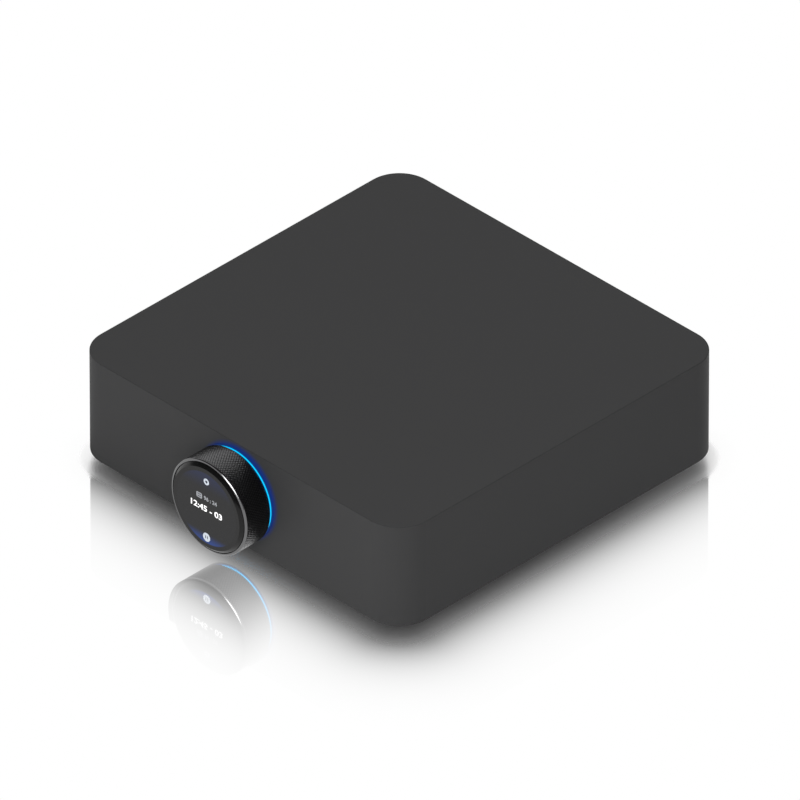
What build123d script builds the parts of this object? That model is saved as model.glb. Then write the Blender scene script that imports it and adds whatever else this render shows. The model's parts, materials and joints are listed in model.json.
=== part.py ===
from build123d import *
import os

# A streaming amplifier: a flat square case with a turning dial round a fixed round display.
# Sizes are in millimetres. The front is -Y, +X is on the right seen from the front, +Z is up.
# The origin lies on the floor, under the middle of the case.

# Case
body_side = 215.0  # width and depth of the shell
body_corner = 17.5  # radius of the shell's upright corners
shell_height = 56.0
floor_gap = 6.0  # height of the shell's lower edge above the floor
side_wall = 2.5
rear_wall = 4.0
roof = 3.0
edge_round = 0.5
slip = 0.3  # gap round a piece that sits in an opening
running = 0.06  # radial clearance of a piece that turns or slides in a bore

# Bottom plate and its vents
plate_inset = 1.0  # height of the plate above the shell's lower edge
plate_thickness = 2.0
vent_length = 14.0
vent_width = 3.0
vent_pitch = 7.0
vent_count = 17
vent_from_wall = 9.0
boss_radius = 5.0
boss_from_wall = 12.5

# Round plinth and the rubber pad under it
plinth_radius = 78.0
plinth_wall = 2.5
plinth_floor = 2.2
pad_radius = 72.0
pad_thickness = 2.0
pad_recess = 1.0  # how deep the pad sits in the plinth
plinth_boss_radius = 5.0
plinth_screw_x = 30.0
plinth_screw_y = 52.0

# Screws
case_head = 2.9
case_shank = 1.5
case_length = 9.0
plinth_length = 5.0
small_head = 2.3
small_shank = 1.25
small_head_height = 1.8
screw_lip = 0.2  # thickness of a sunk head's edge
head_gap = 0.2  # gap between a sunk head and its seat

# Rear panel
panel_over_corner = 2.0  # how far the panel reaches into the curve of the shell's corners
panel_from_edge = 5.0  # from the shell's upper and lower edges to the panel's
panel_thickness = 2.0
panel_corner = 5.0
panel_sunk = 0.2  # depth of the panel's face below the shell's rear face
ledge_side = 8.0
ledge_edge = 3.0
window_corner = 1.5
panel_screw_rise = 15.0
panel_boss_radius = 3.2
panel_boss_depth = 6.0
panel_screw_length = 6.0
panel_vent_width = 2.0
panel_vent_height = 6.0
panel_vent_pitch = 4.5
panel_vent_count = 18
panel_vent_drop = 4.5  # from the window's upper edge to the vents' middle

# Boards
board_thickness = 1.6
board_from_front = 31.0
board_from_back = 7.5
psu_width = 41.0
board_gap = 3.0
standoff_height = 4.5
standoff_radius = 2.8
standoff_inset = 4.0
standoff_from_back = 20.0
board_screw_length = 5.5
sheet_thickness = 0.5
sheet_margin = 2.0

# Dial, measured from the front face outwards
dial_margin = 3.0  # from the dial's edge to the shell's upper and lower edges
dial_body = 3.0  # from the dial's outside to the bearing's seat
dial_near = 2.3
dial_far = 17.5
dial_wall = 1.25  # the dial's wall beside the display
rim_rise = 0.6  # the polished rim slopes out by this much
shoulder_thickness = 1.2
shoulder_height = 0.8

# Thin ball bearing that carries the dial
bearing_section = 4.5  # from the bearing's bore to its outside
bearing_near = 6.0
bearing_width = 5.0
race_thickness = 1.4
ball_radius = 1.5
ball_count = 20
cage_thickness = 1.1
cage_inset = 0.3
clip_thickness = 1.0
clip_depth = 0.7  # how far the clip reaches into its groove
clip_height = 1.3
clip_gap = 8.0

# Hub that holds the bearing and the display
hub_wall = 4.5
hub_flange_inset = 1.0  # the flange's radius is this much smaller than the dial's
hub_flange_thickness = 3.0
front_pad_thickness = 3.0
hub_screw_inset = 3.0  # from the flange's edge to its screws
hub_screw_length = 6.5
hub_nose_width = 6.0  # the nose closes this much of the bore all round
hub_nose_thickness = 2.2
carrier_screw_inset = 2.8  # from the hub's bore to the screws of the display's cup
carrier_screw_length = 3.8
hub_end = 12.6

# Display and its cup
glass_proud = 19.4
glass_thickness = 2.2
glass_edge = 1.25  # radius of the glass's front edge
glass_gap = 0.35
cup_floor = 1.2
cup_wall = 2.0
cup_gap = 0.1  # the cup is this much smaller than the glass
cup_boss_radius = 2.6
cup_boss_height = 0.8
display_clearance = 0.5
display_panel_thickness = 1.6
display_board_thickness = 0.8
cable_width = 7.0
cable_thickness = 0.3
cable_bend = 4.0
cable_setback = 14.0  # how far behind the front wall the cable turns down

# Ring of light behind the dial
light_inset = 0.8  # the ring's outside is this far inside the dial's
light_width = 1.6
light_depth = 1.9
light_board_width = 3.1
light_board_thickness = 1.0
led_count = 24
led_width = 1.6
led_depth = 1.0
led_height = 0.6
sensor_side = 1.4
magnet_thickness = 1.1
magnet_near = 2.8
magnet_width = 1.7
light_cable_width = 4.0
light_cable_angle = 60.0  # degrees below the horizontal

# Sockets, as outlines on the rear panel
inlet_width = 22.0
inlet_height = 14.0
inlet_depth = 20.0
inlet_slot_width = 17.0
inlet_slot_height = 8.4
inlet_slot_depth = 14.0
inlet_pin_radius = 1.2
inlet_pin_pitch = 8.6
inlet_pin_length = 11.0
ethernet_width = 16.0
ethernet_height = 13.5
ethernet_depth = 21.0
ethernet_mouth_width = 12.0
ethernet_mouth_height = 7.6
ethernet_mouth_depth = 14.0
ethernet_latch_width = 6.2
ethernet_latch_height = 2.2
hdmi_width = 15.0
hdmi_height = 5.6
hdmi_depth = 12.0
hdmi_wall = 0.4
hdmi_back = 1.5
hdmi_tongue_width = 11.8
hdmi_tongue_height = 1.2
hdmi_tongue_length = 9.0
optical_width = 10.0
optical_height = 10.0
optical_depth = 13.0
optical_mouth = 7.4
optical_mouth_depth = 10.0
shutter_gap = 0.3
shutter_thickness = 0.8
shutter_pin_radius = 0.5
shutter_pin_reach = 0.8
reset_width = 4.0
reset_height = 4.0
reset_radius = 1.3
reset_flange_radius = 1.9
reset_flange_thickness = 1.0
reset_stem = 6.0
reset_gap = 0.6  # between the button's stem and its switch at rest
switch_depth = 5.5
rca_block_depth = 12.0
rca_pitch = 12.0
rca_edge = 5.4  # from the sockets' middles to the block's edges
rca_outer = 4.15
rca_inner = 3.3
rca_hole = 1.6
rca_hole_depth = 9.0
rca_reach = 9.0
rca_seat_depth = 8.0
rca_flange_radius = 5.4
rca_flange_thickness = 0.8
rca_insert_sunk = 1.0

# Speaker posts
terminal_edge = 5.0  # from the posts' middles to the block's edges
terminal_depth = 10.0
post_pitch = 19.05
stud_radius = 3.0
stud_reach = 15.0
banana_radius = 2.0
banana_depth = 14.0
collar_radius = 7.0
collar_thickness = 2.0
washer_radius = 6.0
washer_thickness = 1.2
washer_gap = 0.05
cap_radius = 6.2
cap_length = 12.5
cap_rim = 0.6
nut_radius = 5.0
nut_thickness = 3.0
tab_thickness = 0.8
tab_radius = 4.5
tab_leg_width = 3.5
tab_offset = 7.0
stud_tail = 1.0

# Parts on the boards
connector_depth = 5.0
connector_height = 2.4
connector_margin = 1.0  # a connector is this much wider than its cable at each side
connector_from_front = 6.0
shield_side = 36.0
shield_from_left = 28.0
shield_height = 3.5
radio_width = 20.0
radio_depth = 16.0
radio_height = 2.5
radio_from_left = 18.0
radio_from_back = 34.0
chip_side = 12.0
chip_height = 1.5
heat_sink_width = 44.0
heat_sink_depth = 60.0
heat_sink_base = 3.0
fin_height = 18.0
fin_thickness = 1.5
fin_count = 9
heat_sink_foot = 2.0
heat_sink_from_right = 8.0
coil_radius = 6.0
coil_height = 10.0
coil_pitch = 13.0
coil_count = 4
coil_from_back = 34.0
store_radius = 9.0
store_height = 30.0
store_pitch = 24.0
store_from_front = 28.0
bulk_radius = 11.0
bulk_height = 32.0
bulk_from_back = 62.0
small_can_radius = 5.0
small_can_height = 15.0
small_can_pitch = 14.0
small_can_from_front = 14.0
core_width = 34.0
core_depth = 14.0
core_height = 26.0
core_leg = 10.0  # middle leg; the outer legs and the yokes are half as thick
winding_depth = 26.0
transformer_from_front = 44.0
choke_outer = 11.0
choke_inner = 5.0
choke_height = 12.0
choke_from_back = 35.0
header_width = 6.0
header_depth = 18.0
header_height = 4.0
lead_radius = 0.9
lead_pitch = 4.2
lead_count = 4
lead_rise = 9.0
lead_bend = 4.0
antenna_width = 30.0
antenna_height = 8.0
antenna_thickness = 0.8
antenna_spread = 44.0
coax_radius = 0.6
coax_bend = 5.0
coax_turn = 14.0  # from the boards' rear edge to the leads' turn

# Places worked out from the sizes
half = body_side / 2
front_y = -half
rear_y = half
shell_top = floor_gap + shell_height
dial_z = floor_gap + shell_height / 2
inner_front = front_y + side_wall
inner_back = rear_y - rear_wall
cavity_width = body_side - 2 * side_wall
cavity_depth = inner_back - inner_front
cavity_mid = (inner_front + inner_back) / 2
cavity_corner = body_corner - side_wall
plate_bottom = floor_gap + plate_inset
plate_top = plate_bottom + plate_thickness
roof_under = shell_top - roof
boss_x = cavity_width / 2 - boss_from_wall
boss_places = [
    (x, y)
    for x in (-boss_x, boss_x)
    for y in (inner_front + boss_from_wall, inner_back - boss_from_wall)
]
plinth_places = [
    (x, y)
    for x in (-plinth_screw_x, plinth_screw_x)
    for y in (-plinth_screw_y, plinth_screw_y)
]

panel_width = body_side - 2 * (body_corner - panel_over_corner)
panel_height = shell_height - 2 * panel_from_edge
panel_face = rear_y - panel_sunk
panel_back = panel_face - panel_thickness
window_width = panel_width - 2 * ledge_side
window_height = panel_height - 2 * ledge_edge
window_top = dial_z + window_height / 2
panel_screw_x = panel_width / 2 - ledge_side / 2
panel_screw_places = [
    (x, z)
    for x in (-panel_screw_x, panel_screw_x)
    for z in (dial_z - panel_screw_rise, dial_z + panel_screw_rise)
]

board_bottom = plate_top + standoff_height
board_top = board_bottom + board_thickness
psu_left = -window_width / 2
psu_right = psu_left + psu_width
psu_mid = (psu_left + psu_right) / 2
main_left = psu_right + board_gap
main_right = window_width / 2
main_mid = (main_left + main_right) / 2
board_front = inner_front + board_from_front
board_back = inner_back - board_from_back
board_mid = (board_front + board_back) / 2
board_depth = board_back - board_front
standoff_rows = [
    board_front + standoff_inset,
    (board_front + board_back - standoff_from_back + standoff_inset) / 2,
    board_back - standoff_from_back,
]
psu_standoffs = [
    (x, y)
    for x in (psu_left + standoff_inset, psu_right - standoff_inset)
    for y in standoff_rows
]
main_standoffs = [
    (x, y)
    for x in (main_left + standoff_inset, main_right - standoff_inset)
    for y in standoff_rows
]


def row_places(left, right, widths):
    """Middles of things set side by side with equal gaps between them and at the ends."""
    gap = (right - left - sum(widths)) / (len(widths) + 1)
    places = []
    edge = left
    for width in widths:
        places.append(edge + gap + width / 2)
        edge += gap + width
    return places


rca_block_side = rca_pitch + 2 * rca_edge
terminal_side = post_pitch + 2 * terminal_edge
socket_widths = [ethernet_width, hdmi_width, optical_width, reset_width]
socket_widths += [rca_block_side, terminal_side]
socket_places = row_places(main_left, main_right, socket_widths)
ethernet_x, hdmi_x, optical_x, reset_x, rca_x, terminal_x = socket_places
inlet_x = psu_mid
inlet_z = board_top + inlet_height / 2
ethernet_z = board_top + ethernet_height / 2
hdmi_z = board_top + hdmi_height / 2
optical_z = board_top + optical_height / 2
reset_z = board_top + reset_height / 2
rca_z = board_top + rca_block_side / 2
terminal_z = board_top + terminal_side / 2
rca_places = [
    (rca_x + side * rca_pitch / 2, rca_z + level * rca_pitch / 2)
    for side, level in ((-1, 1), (-1, -1), (1, -1))
]
post_places = [
    (terminal_x + side * post_pitch / 2, terminal_z + level * post_pitch / 2)
    for level in (1, -1)
    for side in (-1, 1)
]

panel_vent_x = (psu_left + rca_x - rca_block_side / 2) / 2
panel_vent_z = window_top - panel_vent_drop

dial_radius = shell_height / 2 - dial_margin
seat_radius = dial_radius - dial_body
journal_radius = seat_radius - bearing_section
bearing_far = bearing_near + bearing_width
bearing_mid = (bearing_near + bearing_far) / 2
ball_circle = (journal_radius + seat_radius) / 2
shoulder_far = bearing_far + shoulder_thickness
rim_radius = dial_radius - dial_wall
glass_radius = rim_radius - glass_gap
cup_radius = glass_radius - cup_gap
cup_top = glass_proud - glass_thickness
cup_floor_top = hub_end + cup_floor
pad_near = -side_wall - front_pad_thickness
flange_near = pad_near - hub_flange_thickness
hub_bore = journal_radius - hub_wall
hub_flange_radius = dial_radius - hub_flange_inset
hub_nose_hole = hub_bore - hub_nose_width
light_outer = dial_radius - light_inset
light_inner = light_outer - light_width
light_board_outer = light_inner - slip
light_board_inner = light_board_outer - light_board_width


def upright(y):
    """Plane at y that faces the front; its own x and y are the frame's X and Z."""
    return Plane(origin=(0, y, 0), x_dir=(1, 0, 0), z_dir=(0, -1, 0))


def tube(places, outer, inner, low, high, mode=Mode.ADD):
    """Round bars or tubes along Y, from y = low to y = high, at places in X and Z."""
    with BuildSketch(upright(high)) as profile:
        with Locations(*places):
            Circle(outer)
            if inner > 0:
                Circle(inner, mode=Mode.SUBTRACT)
    extrude(profile.sketch, amount=high - low, mode=mode)


def dial_tube(outer, inner, near, far, mode=Mode.ADD):
    """A ring on the dial's axis, from near to far in front of the front face."""
    tube([(0, dial_z)], outer, inner, front_y - far, front_y - near, mode)


def bar(x, z, width, height, low, high, corner=0.0, mode=Mode.ADD):
    """A bar along Y with its middle at x and z, from y = low to y = high."""
    with BuildSketch(upright(high)) as profile:
        with Locations((x, z)):
            if corner > 0:
                RectangleRounded(width, height, corner)
            else:
                Rectangle(width, height)
    extrude(profile.sketch, amount=high - low, mode=mode)


def block(x, y, z, width, depth, height, mode=Mode.ADD):
    """A box that stands at height z with its middle at x and y."""
    with Locations((x, y, z)):
        Box(width, depth, height, align=(Align.CENTER, Align.CENTER, Align.MIN), mode=mode)


def can(places, z, radius, height, mode=Mode.ADD):
    """Upright cylinders that stand at height z."""
    with Locations(*[(x, y, z) for x, y in places]):
        Cylinder(radius, height, align=(Align.CENTER, Align.CENTER, Align.MIN), mode=mode)


def flat_screw(head, shank, length):
    """A sunk-head screw along +Z, the face of its head at the origin."""
    with BuildPart() as screw:
        with BuildSketch(Plane.XZ):
            with BuildLine():
                Polyline(
                    (0, 0),
                    (head, 0),
                    (head, screw_lip),
                    (shank, screw_lip + head - shank),
                    (shank, length),
                    (0, length),
                    close=True,
                )
            make_face()
        revolve(axis=Axis.Z)
    return screw.part


def pan_screw(head, head_height, shank, length):
    """A raised-head screw along +Z, with the underside of its head at the origin."""
    with BuildPart() as screw:
        Cylinder(head, head_height, align=(Align.CENTER, Align.CENTER, Align.MAX))
        fillet(screw.edges().sort_by(Axis.Z)[0], head_height / 3)
        Cylinder(shank, length, align=(Align.CENTER, Align.CENTER, Align.MIN))
    return screw.part


def ring_places(circle, angles):
    """Places in X and Z on a circle round the dial's axis."""
    return [
        (p.position.X, p.position.Y + dial_z)
        for angle in angles
        for p in PolarLocations(circle, 1, start_angle=angle)
    ]


def save(part, name):
    """Name a finished piece and write it to its own file."""
    part.label = name
    export_step(part, f"parts/{name}.step")


os.makedirs("parts", exist_ok=True)
to_front = (90, 0, 0)  # turns +Z to face the front
upside_down = (180, 0, 0)
hub_screw_places = ring_places(hub_flange_radius - hub_screw_inset, (45, 135, 225, 315))
carrier_screw_places = ring_places(hub_bore - carrier_screw_inset, (90, 210, 330))
light_cable_circle = (light_board_inner + light_board_outer) / 2
light_cable_place = ring_places(light_cable_circle, (-light_cable_angle,))[0]
light_cable_x, light_cable_z = light_cable_place

# Shell: the roof and four walls are one casting
with BuildPart() as top_shell:
    with BuildSketch(Plane.XY.offset(floor_gap)):
        RectangleRounded(body_side, body_side, body_corner)
    extrude(amount=shell_height)
    fillet(top_shell.faces().sort_by(Axis.Z)[-1].edges(), edge_round)
    with BuildSketch(Plane.XY.offset(floor_gap)):
        with Locations((0, cavity_mid)):
            RectangleRounded(cavity_width, cavity_depth, cavity_corner)
    extrude(amount=shell_height - roof, mode=Mode.SUBTRACT)
    can(boss_places, plate_top, boss_radius, roof_under - plate_top)
    can(boss_places, plate_top, case_shank, case_length, Mode.SUBTRACT)
    # Seat for the rear panel, its window and its screw bosses
    tube(panel_screw_places, panel_boss_radius, 0, inner_back - panel_boss_depth, inner_back)
    bar(
        0,
        dial_z,
        panel_width + 2 * slip,
        panel_height + 2 * slip,
        panel_back,
        rear_y,
        panel_corner + slip,
        Mode.SUBTRACT,
    )
    bar(
        0,
        dial_z,
        window_width,
        window_height,
        inner_back,
        panel_back,
        window_corner,
        Mode.SUBTRACT,
    )
    tube(
        panel_screw_places,
        small_shank,
        0,
        panel_face - panel_screw_length,
        panel_back,
        Mode.SUBTRACT,
    )
    # Seat for the dial's hub
    dial_tube(hub_flange_radius, 0, pad_near, -side_wall)
    dial_tube(journal_radius + slip, 0, pad_near, 0, Mode.SUBTRACT)
    tube(
        hub_screw_places,
        small_shank,
        0,
        front_y - flange_near - hub_screw_length,
        front_y - pad_near,
        Mode.SUBTRACT,
    )
    bar(
        light_cable_x,
        light_cable_z,
        light_cable_width + 2 * slip,
        cable_thickness + 2 * slip,
        front_y,
        front_y - pad_near,
        0,
        Mode.SUBTRACT,
    )
save(top_shell.part, "top_shell")

# Bottom plate, set up inside the shell's lower edge
with BuildPart() as bottom_plate:
    with BuildSketch(Plane.XY.offset(plate_bottom)):
        with Locations((0, cavity_mid)):
            RectangleRounded(cavity_width - 2 * slip, cavity_depth - 2 * slip, cavity_corner - slip)
        with GridLocations(cavity_width - 2 * vent_from_wall, vent_pitch, 2, vent_count):
            SlotOverall(vent_length, vent_width, mode=Mode.SUBTRACT)
    extrude(amount=plate_thickness)
    with Locations(*[(x, y, plate_bottom) for x, y in boss_places]):
        add(flat_screw(case_head + head_gap, case_shank + head_gap, plate_thickness), mode=Mode.SUBTRACT)
    with Locations(*[Location((x, y, plate_top), upside_down) for x, y in plinth_places]):
        add(flat_screw(case_head + head_gap, case_shank + head_gap, plate_thickness), mode=Mode.SUBTRACT)
save(bottom_plate.part, "bottom_plate")

# Round plinth that lifts the case off the floor
pad_top = pad_thickness
plinth_bottom = pad_top - pad_recess
with BuildPart() as plinth:
    with BuildSketch(Plane.XY.offset(plinth_bottom)):
        Circle(plinth_radius)
    extrude(amount=plate_bottom - plinth_bottom)
    fillet(plinth.edges().sort_by(Axis.Z)[0], edge_round)
    with BuildSketch(Plane.XY.offset(plinth_bottom)):
        Circle(pad_radius + slip)
    extrude(amount=pad_recess, mode=Mode.SUBTRACT)
    with BuildSketch(Plane.XY.offset(plinth_bottom + plinth_floor)):
        Circle(plinth_radius - plinth_wall)
        with Locations(*plinth_places):
            Circle(plinth_boss_radius, mode=Mode.SUBTRACT)
    extrude(amount=plate_bottom - plinth_bottom - plinth_floor, mode=Mode.SUBTRACT)
    can(plinth_places, plate_top - plinth_length, case_shank, plinth_length, Mode.SUBTRACT)
save(plinth.part, "plinth")

# Rubber pad that the amplifier rests on
with BuildPart() as foot_pad:
    with BuildSketch():
        Circle(pad_radius)
    extrude(amount=pad_thickness)
    chamfer(foot_pad.edges().sort_by(Axis.Z)[0], edge_round)
save(foot_pad.part, "foot_pad")

# Screws of the plate: four up into the shell, four down into the plinth
with BuildPart() as case_screws:
    with Locations(*[(x, y, plate_bottom) for x, y in boss_places]):
        add(flat_screw(case_head, case_shank, case_length))
    with Locations(*[Location((x, y, plate_top), upside_down) for x, y in plinth_places]):
        add(flat_screw(case_head, case_shank, plinth_length))
save(case_screws.part, "case_screws")

# Rear panel with a cut-out for each socket
with BuildPart() as rear_panel:
    bar(0, dial_z, panel_width, panel_height, panel_back, panel_face, panel_corner)
    for x, z, width, height in (
        (inlet_x, inlet_z, inlet_width, inlet_height),
        (ethernet_x, ethernet_z, ethernet_width, ethernet_height),
        (hdmi_x, hdmi_z, hdmi_width, hdmi_height),
        (optical_x, optical_z, optical_width, optical_height),
    ):
        bar(
            x,
            z,
            width + 2 * slip,
            height + 2 * slip,
            panel_back,
            panel_face,
            slip,
            Mode.SUBTRACT,
        )
    tube(rca_places, rca_outer + slip, 0, panel_back, panel_face, Mode.SUBTRACT)
    tube(post_places, collar_radius + slip, 0, panel_back, panel_face, Mode.SUBTRACT)
    tube([(reset_x, reset_z)], reset_radius + running, 0, panel_back, panel_face, Mode.SUBTRACT)
    with Locations(*[Location((x, panel_face, z), to_front) for x, z in panel_screw_places]):
        add(
            flat_screw(small_head + head_gap, small_shank + head_gap, panel_thickness),
            mode=Mode.SUBTRACT,
        )
    with BuildSketch(upright(panel_face)):
        with Locations((panel_vent_x, panel_vent_z)):
            with GridLocations(panel_vent_pitch, 0, panel_vent_count, 1):
                SlotOverall(panel_vent_height, panel_vent_width, rotation=90)
    extrude(amount=panel_thickness, mode=Mode.SUBTRACT)
save(rear_panel.part, "rear_panel")

# Screws of the rear panel
with BuildPart() as rear_panel_screws:
    with Locations(*[Location((x, panel_face, z), to_front) for x, z in panel_screw_places]):
        add(flat_screw(small_head, small_shank, panel_screw_length))
save(rear_panel_screws.part, "rear_panel_screws")

# Standoffs pressed into the bottom plate, and the screws that hold the boards on them
with BuildPart() as standoffs:
    can(psu_standoffs + main_standoffs, plate_top, standoff_radius, standoff_height)
    can(psu_standoffs + main_standoffs, plate_top, small_shank, standoff_height, Mode.SUBTRACT)
save(standoffs.part, "standoffs")

with BuildPart() as board_screws:
    with Locations(
        *[Location((x, y, board_top), upside_down) for x, y in psu_standoffs + main_standoffs]
    ):
        add(pan_screw(small_head, small_head_height, small_shank, board_screw_length))
save(board_screws.part, "board_screws")

# Insulating sheet under the power supply
with BuildPart() as insulating_sheet:
    with BuildSketch(Plane.XY.offset(plate_top)):
        with Locations((psu_mid, board_mid)):
            Rectangle(psu_width + 2 * sheet_margin, board_depth + 2 * sheet_margin)
        with Locations(*psu_standoffs):
            Circle(standoff_radius + slip, mode=Mode.SUBTRACT)
    extrude(amount=sheet_thickness)
save(insulating_sheet.part, "insulating_sheet")

# Dial: a section turned round the dial's axis, seen from above with its radius along X
section_plane = Plane(origin=(0, front_y, dial_z), x_dir=(1, 0, 0), z_dir=(0, 0, -1))
dial_axis = Axis((0, front_y, dial_z), (0, -1, 0))
clip_far = bearing_near - running
clip_near = clip_far - clip_thickness
groove_radius = seat_radius + clip_depth + running

with BuildPart() as dial_ring:
    with BuildSketch(section_plane):
        with BuildLine():
            Polyline(
                (seat_radius, dial_near),
                (dial_radius - edge_round, dial_near),
                (dial_radius, dial_near + edge_round),
                (dial_radius, dial_far),
                (rim_radius, dial_far + rim_rise),
                (rim_radius, shoulder_far),
                (seat_radius - shoulder_height, shoulder_far),
                (seat_radius - shoulder_height, bearing_far),
                (seat_radius, bearing_far),
                (seat_radius, clip_far + running),
                (groove_radius, clip_far + running),
                (groove_radius, clip_near - running),
                (seat_radius, clip_near - running),
                close=True,
            )
        make_face()
    revolve(axis=dial_axis)
save(dial_ring.part, "dial_ring")

# Magnetic ring in the dial that the position sensor reads
with BuildPart() as encoder_magnet:
    dial_tube(seat_radius, seat_radius - magnet_thickness, magnet_near, magnet_near + magnet_width)
save(encoder_magnet.part, "encoder_magnet")

# Spring clip that keeps the bearing in the dial
with BuildPart() as dial_clip:
    dial_tube(seat_radius + clip_depth, seat_radius - clip_height, clip_near, clip_far)
    bar(
        0,
        dial_z - seat_radius,
        clip_gap,
        2 * (clip_height + clip_depth + slip),
        front_y - clip_far,
        front_y - clip_near,
        0,
        Mode.SUBTRACT,
    )
save(dial_clip.part, "dial_clip")


def race(inner, outer):
    """One race of the bearing, with the groove that the balls run in."""
    with BuildPart() as result:
        with BuildSketch(section_plane):
            with Locations(((inner + outer) / 2, bearing_mid)):
                Rectangle(outer - inner, bearing_width)
            with Locations((ball_circle, bearing_mid)):
                Circle(ball_radius + running, mode=Mode.SUBTRACT)
        revolve(axis=dial_axis)
    return result.part


save(race(journal_radius, journal_radius + race_thickness), "bearing_inner_race")
save(race(seat_radius - race_thickness, seat_radius), "bearing_outer_race")

ball_angles = [k * 360 / ball_count for k in range(ball_count)]
ball_places = [
    (x, front_y - bearing_mid, z) for x, z in ring_places(ball_circle, ball_angles)
]
ball_planes = [Plane(origin=(x, y, z), z_dir=(x, 0, z - dial_z)) for x, y, z in ball_places]
with BuildPart() as bearing_balls:
    with Locations(*ball_places):
        Sphere(ball_radius)
save(bearing_balls.part, "bearing_balls")

with BuildPart() as bearing_cage:
    dial_tube(
        ball_circle + cage_thickness / 2,
        ball_circle - cage_thickness / 2,
        bearing_near + cage_inset,
        bearing_far - cage_inset,
    )
    with Locations(*ball_planes):
        Cylinder(ball_radius + running, 2 * cage_thickness, mode=Mode.SUBTRACT)
save(bearing_cage.part, "bearing_cage")

# Spacer between the front wall and the bearing's inner race
spacer_inner = journal_radius + running
with BuildPart() as bearing_spacer:
    dial_tube(journal_radius + race_thickness, spacer_inner, 0, bearing_near)
save(bearing_spacer.part, "bearing_spacer")

# Hub: a flanged tube through the front wall
with BuildPart() as dial_hub:
    dial_tube(journal_radius, hub_bore, flange_near, hub_end)
    dial_tube(hub_flange_radius, hub_bore, flange_near, pad_near)
    dial_tube(hub_bore, hub_nose_hole, hub_end - hub_nose_thickness, hub_end)
    tube(
        hub_screw_places,
        small_shank + head_gap,
        0,
        front_y - pad_near,
        front_y - flange_near,
        Mode.SUBTRACT,
    )
    tube(
        carrier_screw_places,
        small_shank + head_gap,
        0,
        front_y - hub_end,
        front_y - hub_end + hub_nose_thickness,
        Mode.SUBTRACT,
    )
    bar(
        light_cable_x,
        light_cable_z,
        light_cable_width + 2 * slip,
        cable_thickness + 2 * slip,
        front_y - pad_near,
        front_y - flange_near,
        0,
        Mode.SUBTRACT,
    )
save(dial_hub.part, "dial_hub")

# Screws of the hub and of the display's cup
hub_head_y = front_y - flange_near
carrier_head_y = front_y - hub_end + hub_nose_thickness
with BuildPart() as dial_screws:
    with Locations(*[Location((x, hub_head_y, z), to_front) for x, z in hub_screw_places]):
        add(pan_screw(small_head, small_head_height, small_shank, hub_screw_length))
    with Locations(*[Location((x, carrier_head_y, z), to_front) for x, z in carrier_screw_places]):
        add(pan_screw(small_head, small_head_height, small_shank, carrier_screw_length))
save(dial_screws.part, "dial_screws")

# Cup that carries the display in front of the bearing and clamps its inner race
cup_boss_top = cup_floor_top + cup_boss_height
with BuildPart() as display_cup:
    dial_tube(journal_radius + race_thickness - slip, journal_radius + running, bearing_far, hub_end)
    dial_tube(cup_radius, hub_nose_hole - display_clearance, hub_end, cup_floor_top)
    dial_tube(cup_radius, cup_radius - cup_wall, cup_floor_top, cup_top)
    tube(
        carrier_screw_places,
        cup_boss_radius,
        0,
        front_y - cup_boss_top,
        front_y - cup_floor_top,
    )
    tube(
        carrier_screw_places,
        small_shank,
        0,
        carrier_head_y - carrier_screw_length,
        front_y - hub_end,
        Mode.SUBTRACT,
    )
save(display_cup.part, "display_cup")

# Cover glass with a rounded front edge, and the display bonded behind it
display_radius = cup_radius - cup_wall - display_clearance
with BuildPart() as display_glass:
    dial_tube(glass_radius, 0, cup_top, glass_proud)
    fillet(display_glass.edges().sort_by(Axis.Y)[0], glass_edge)
save(display_glass.part, "display_glass")

with BuildPart() as display_panel:
    dial_tube(display_radius, 0, cup_top - display_panel_thickness, cup_top)
save(display_panel.part, "display_panel")

display_board_far = cup_boss_top + display_board_thickness
with BuildPart() as display_board:
    dial_tube(display_radius, 0, cup_boss_top, display_board_far)
save(display_board.part, "display_board")

# Flat cable from the display through the hub to the main board
connector_y = board_front + connector_from_front
cable_z = board_top + connector_height / 2
cable_turn_y = front_y + cable_setback
with BuildPart() as display_cable:
    with BuildLine(Plane.YZ) as cable_path:
        FilletPolyline(
            (front_y - cup_boss_top, dial_z),
            (cable_turn_y, dial_z),
            (cable_turn_y, cable_z),
            (connector_y - connector_depth / 2, cable_z),
            radius=cable_bend,
        )
    with BuildSketch(Plane(cable_path.line @ 0, x_dir=(1, 0, 0), z_dir=(0, 1, 0))):
        Rectangle(cable_width, cable_thickness)
    sweep(path=cable_path.line)
save(display_cable.part, "display_cable")

# Ring of light on the front wall, its board and the board's cable
with BuildPart() as light_ring:
    dial_tube(light_outer, light_inner, 0, light_depth)
save(light_ring.part, "light_ring")

with BuildPart() as light_board:
    dial_tube(light_board_outer, light_board_inner, 0, light_board_thickness)
    led_circle = light_board_outer - led_depth
    with BuildSketch(Plane(origin=(0, front_y - light_board_thickness, dial_z), z_dir=(0, -1, 0))):
        with PolarLocations(led_circle, led_count):
            Rectangle(led_depth, led_width)
        with PolarLocations(light_board_inner + sensor_side, 2):
            Rectangle(sensor_side, sensor_side)
    extrude(amount=led_height)
save(light_board.part, "light_board")

with BuildPart() as light_cable:
    bar(
        light_cable_x,
        light_cable_z,
        light_cable_width,
        cable_thickness,
        front_y,
        connector_y - connector_depth / 2,
    )
save(light_cable.part, "light_cable")

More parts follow.
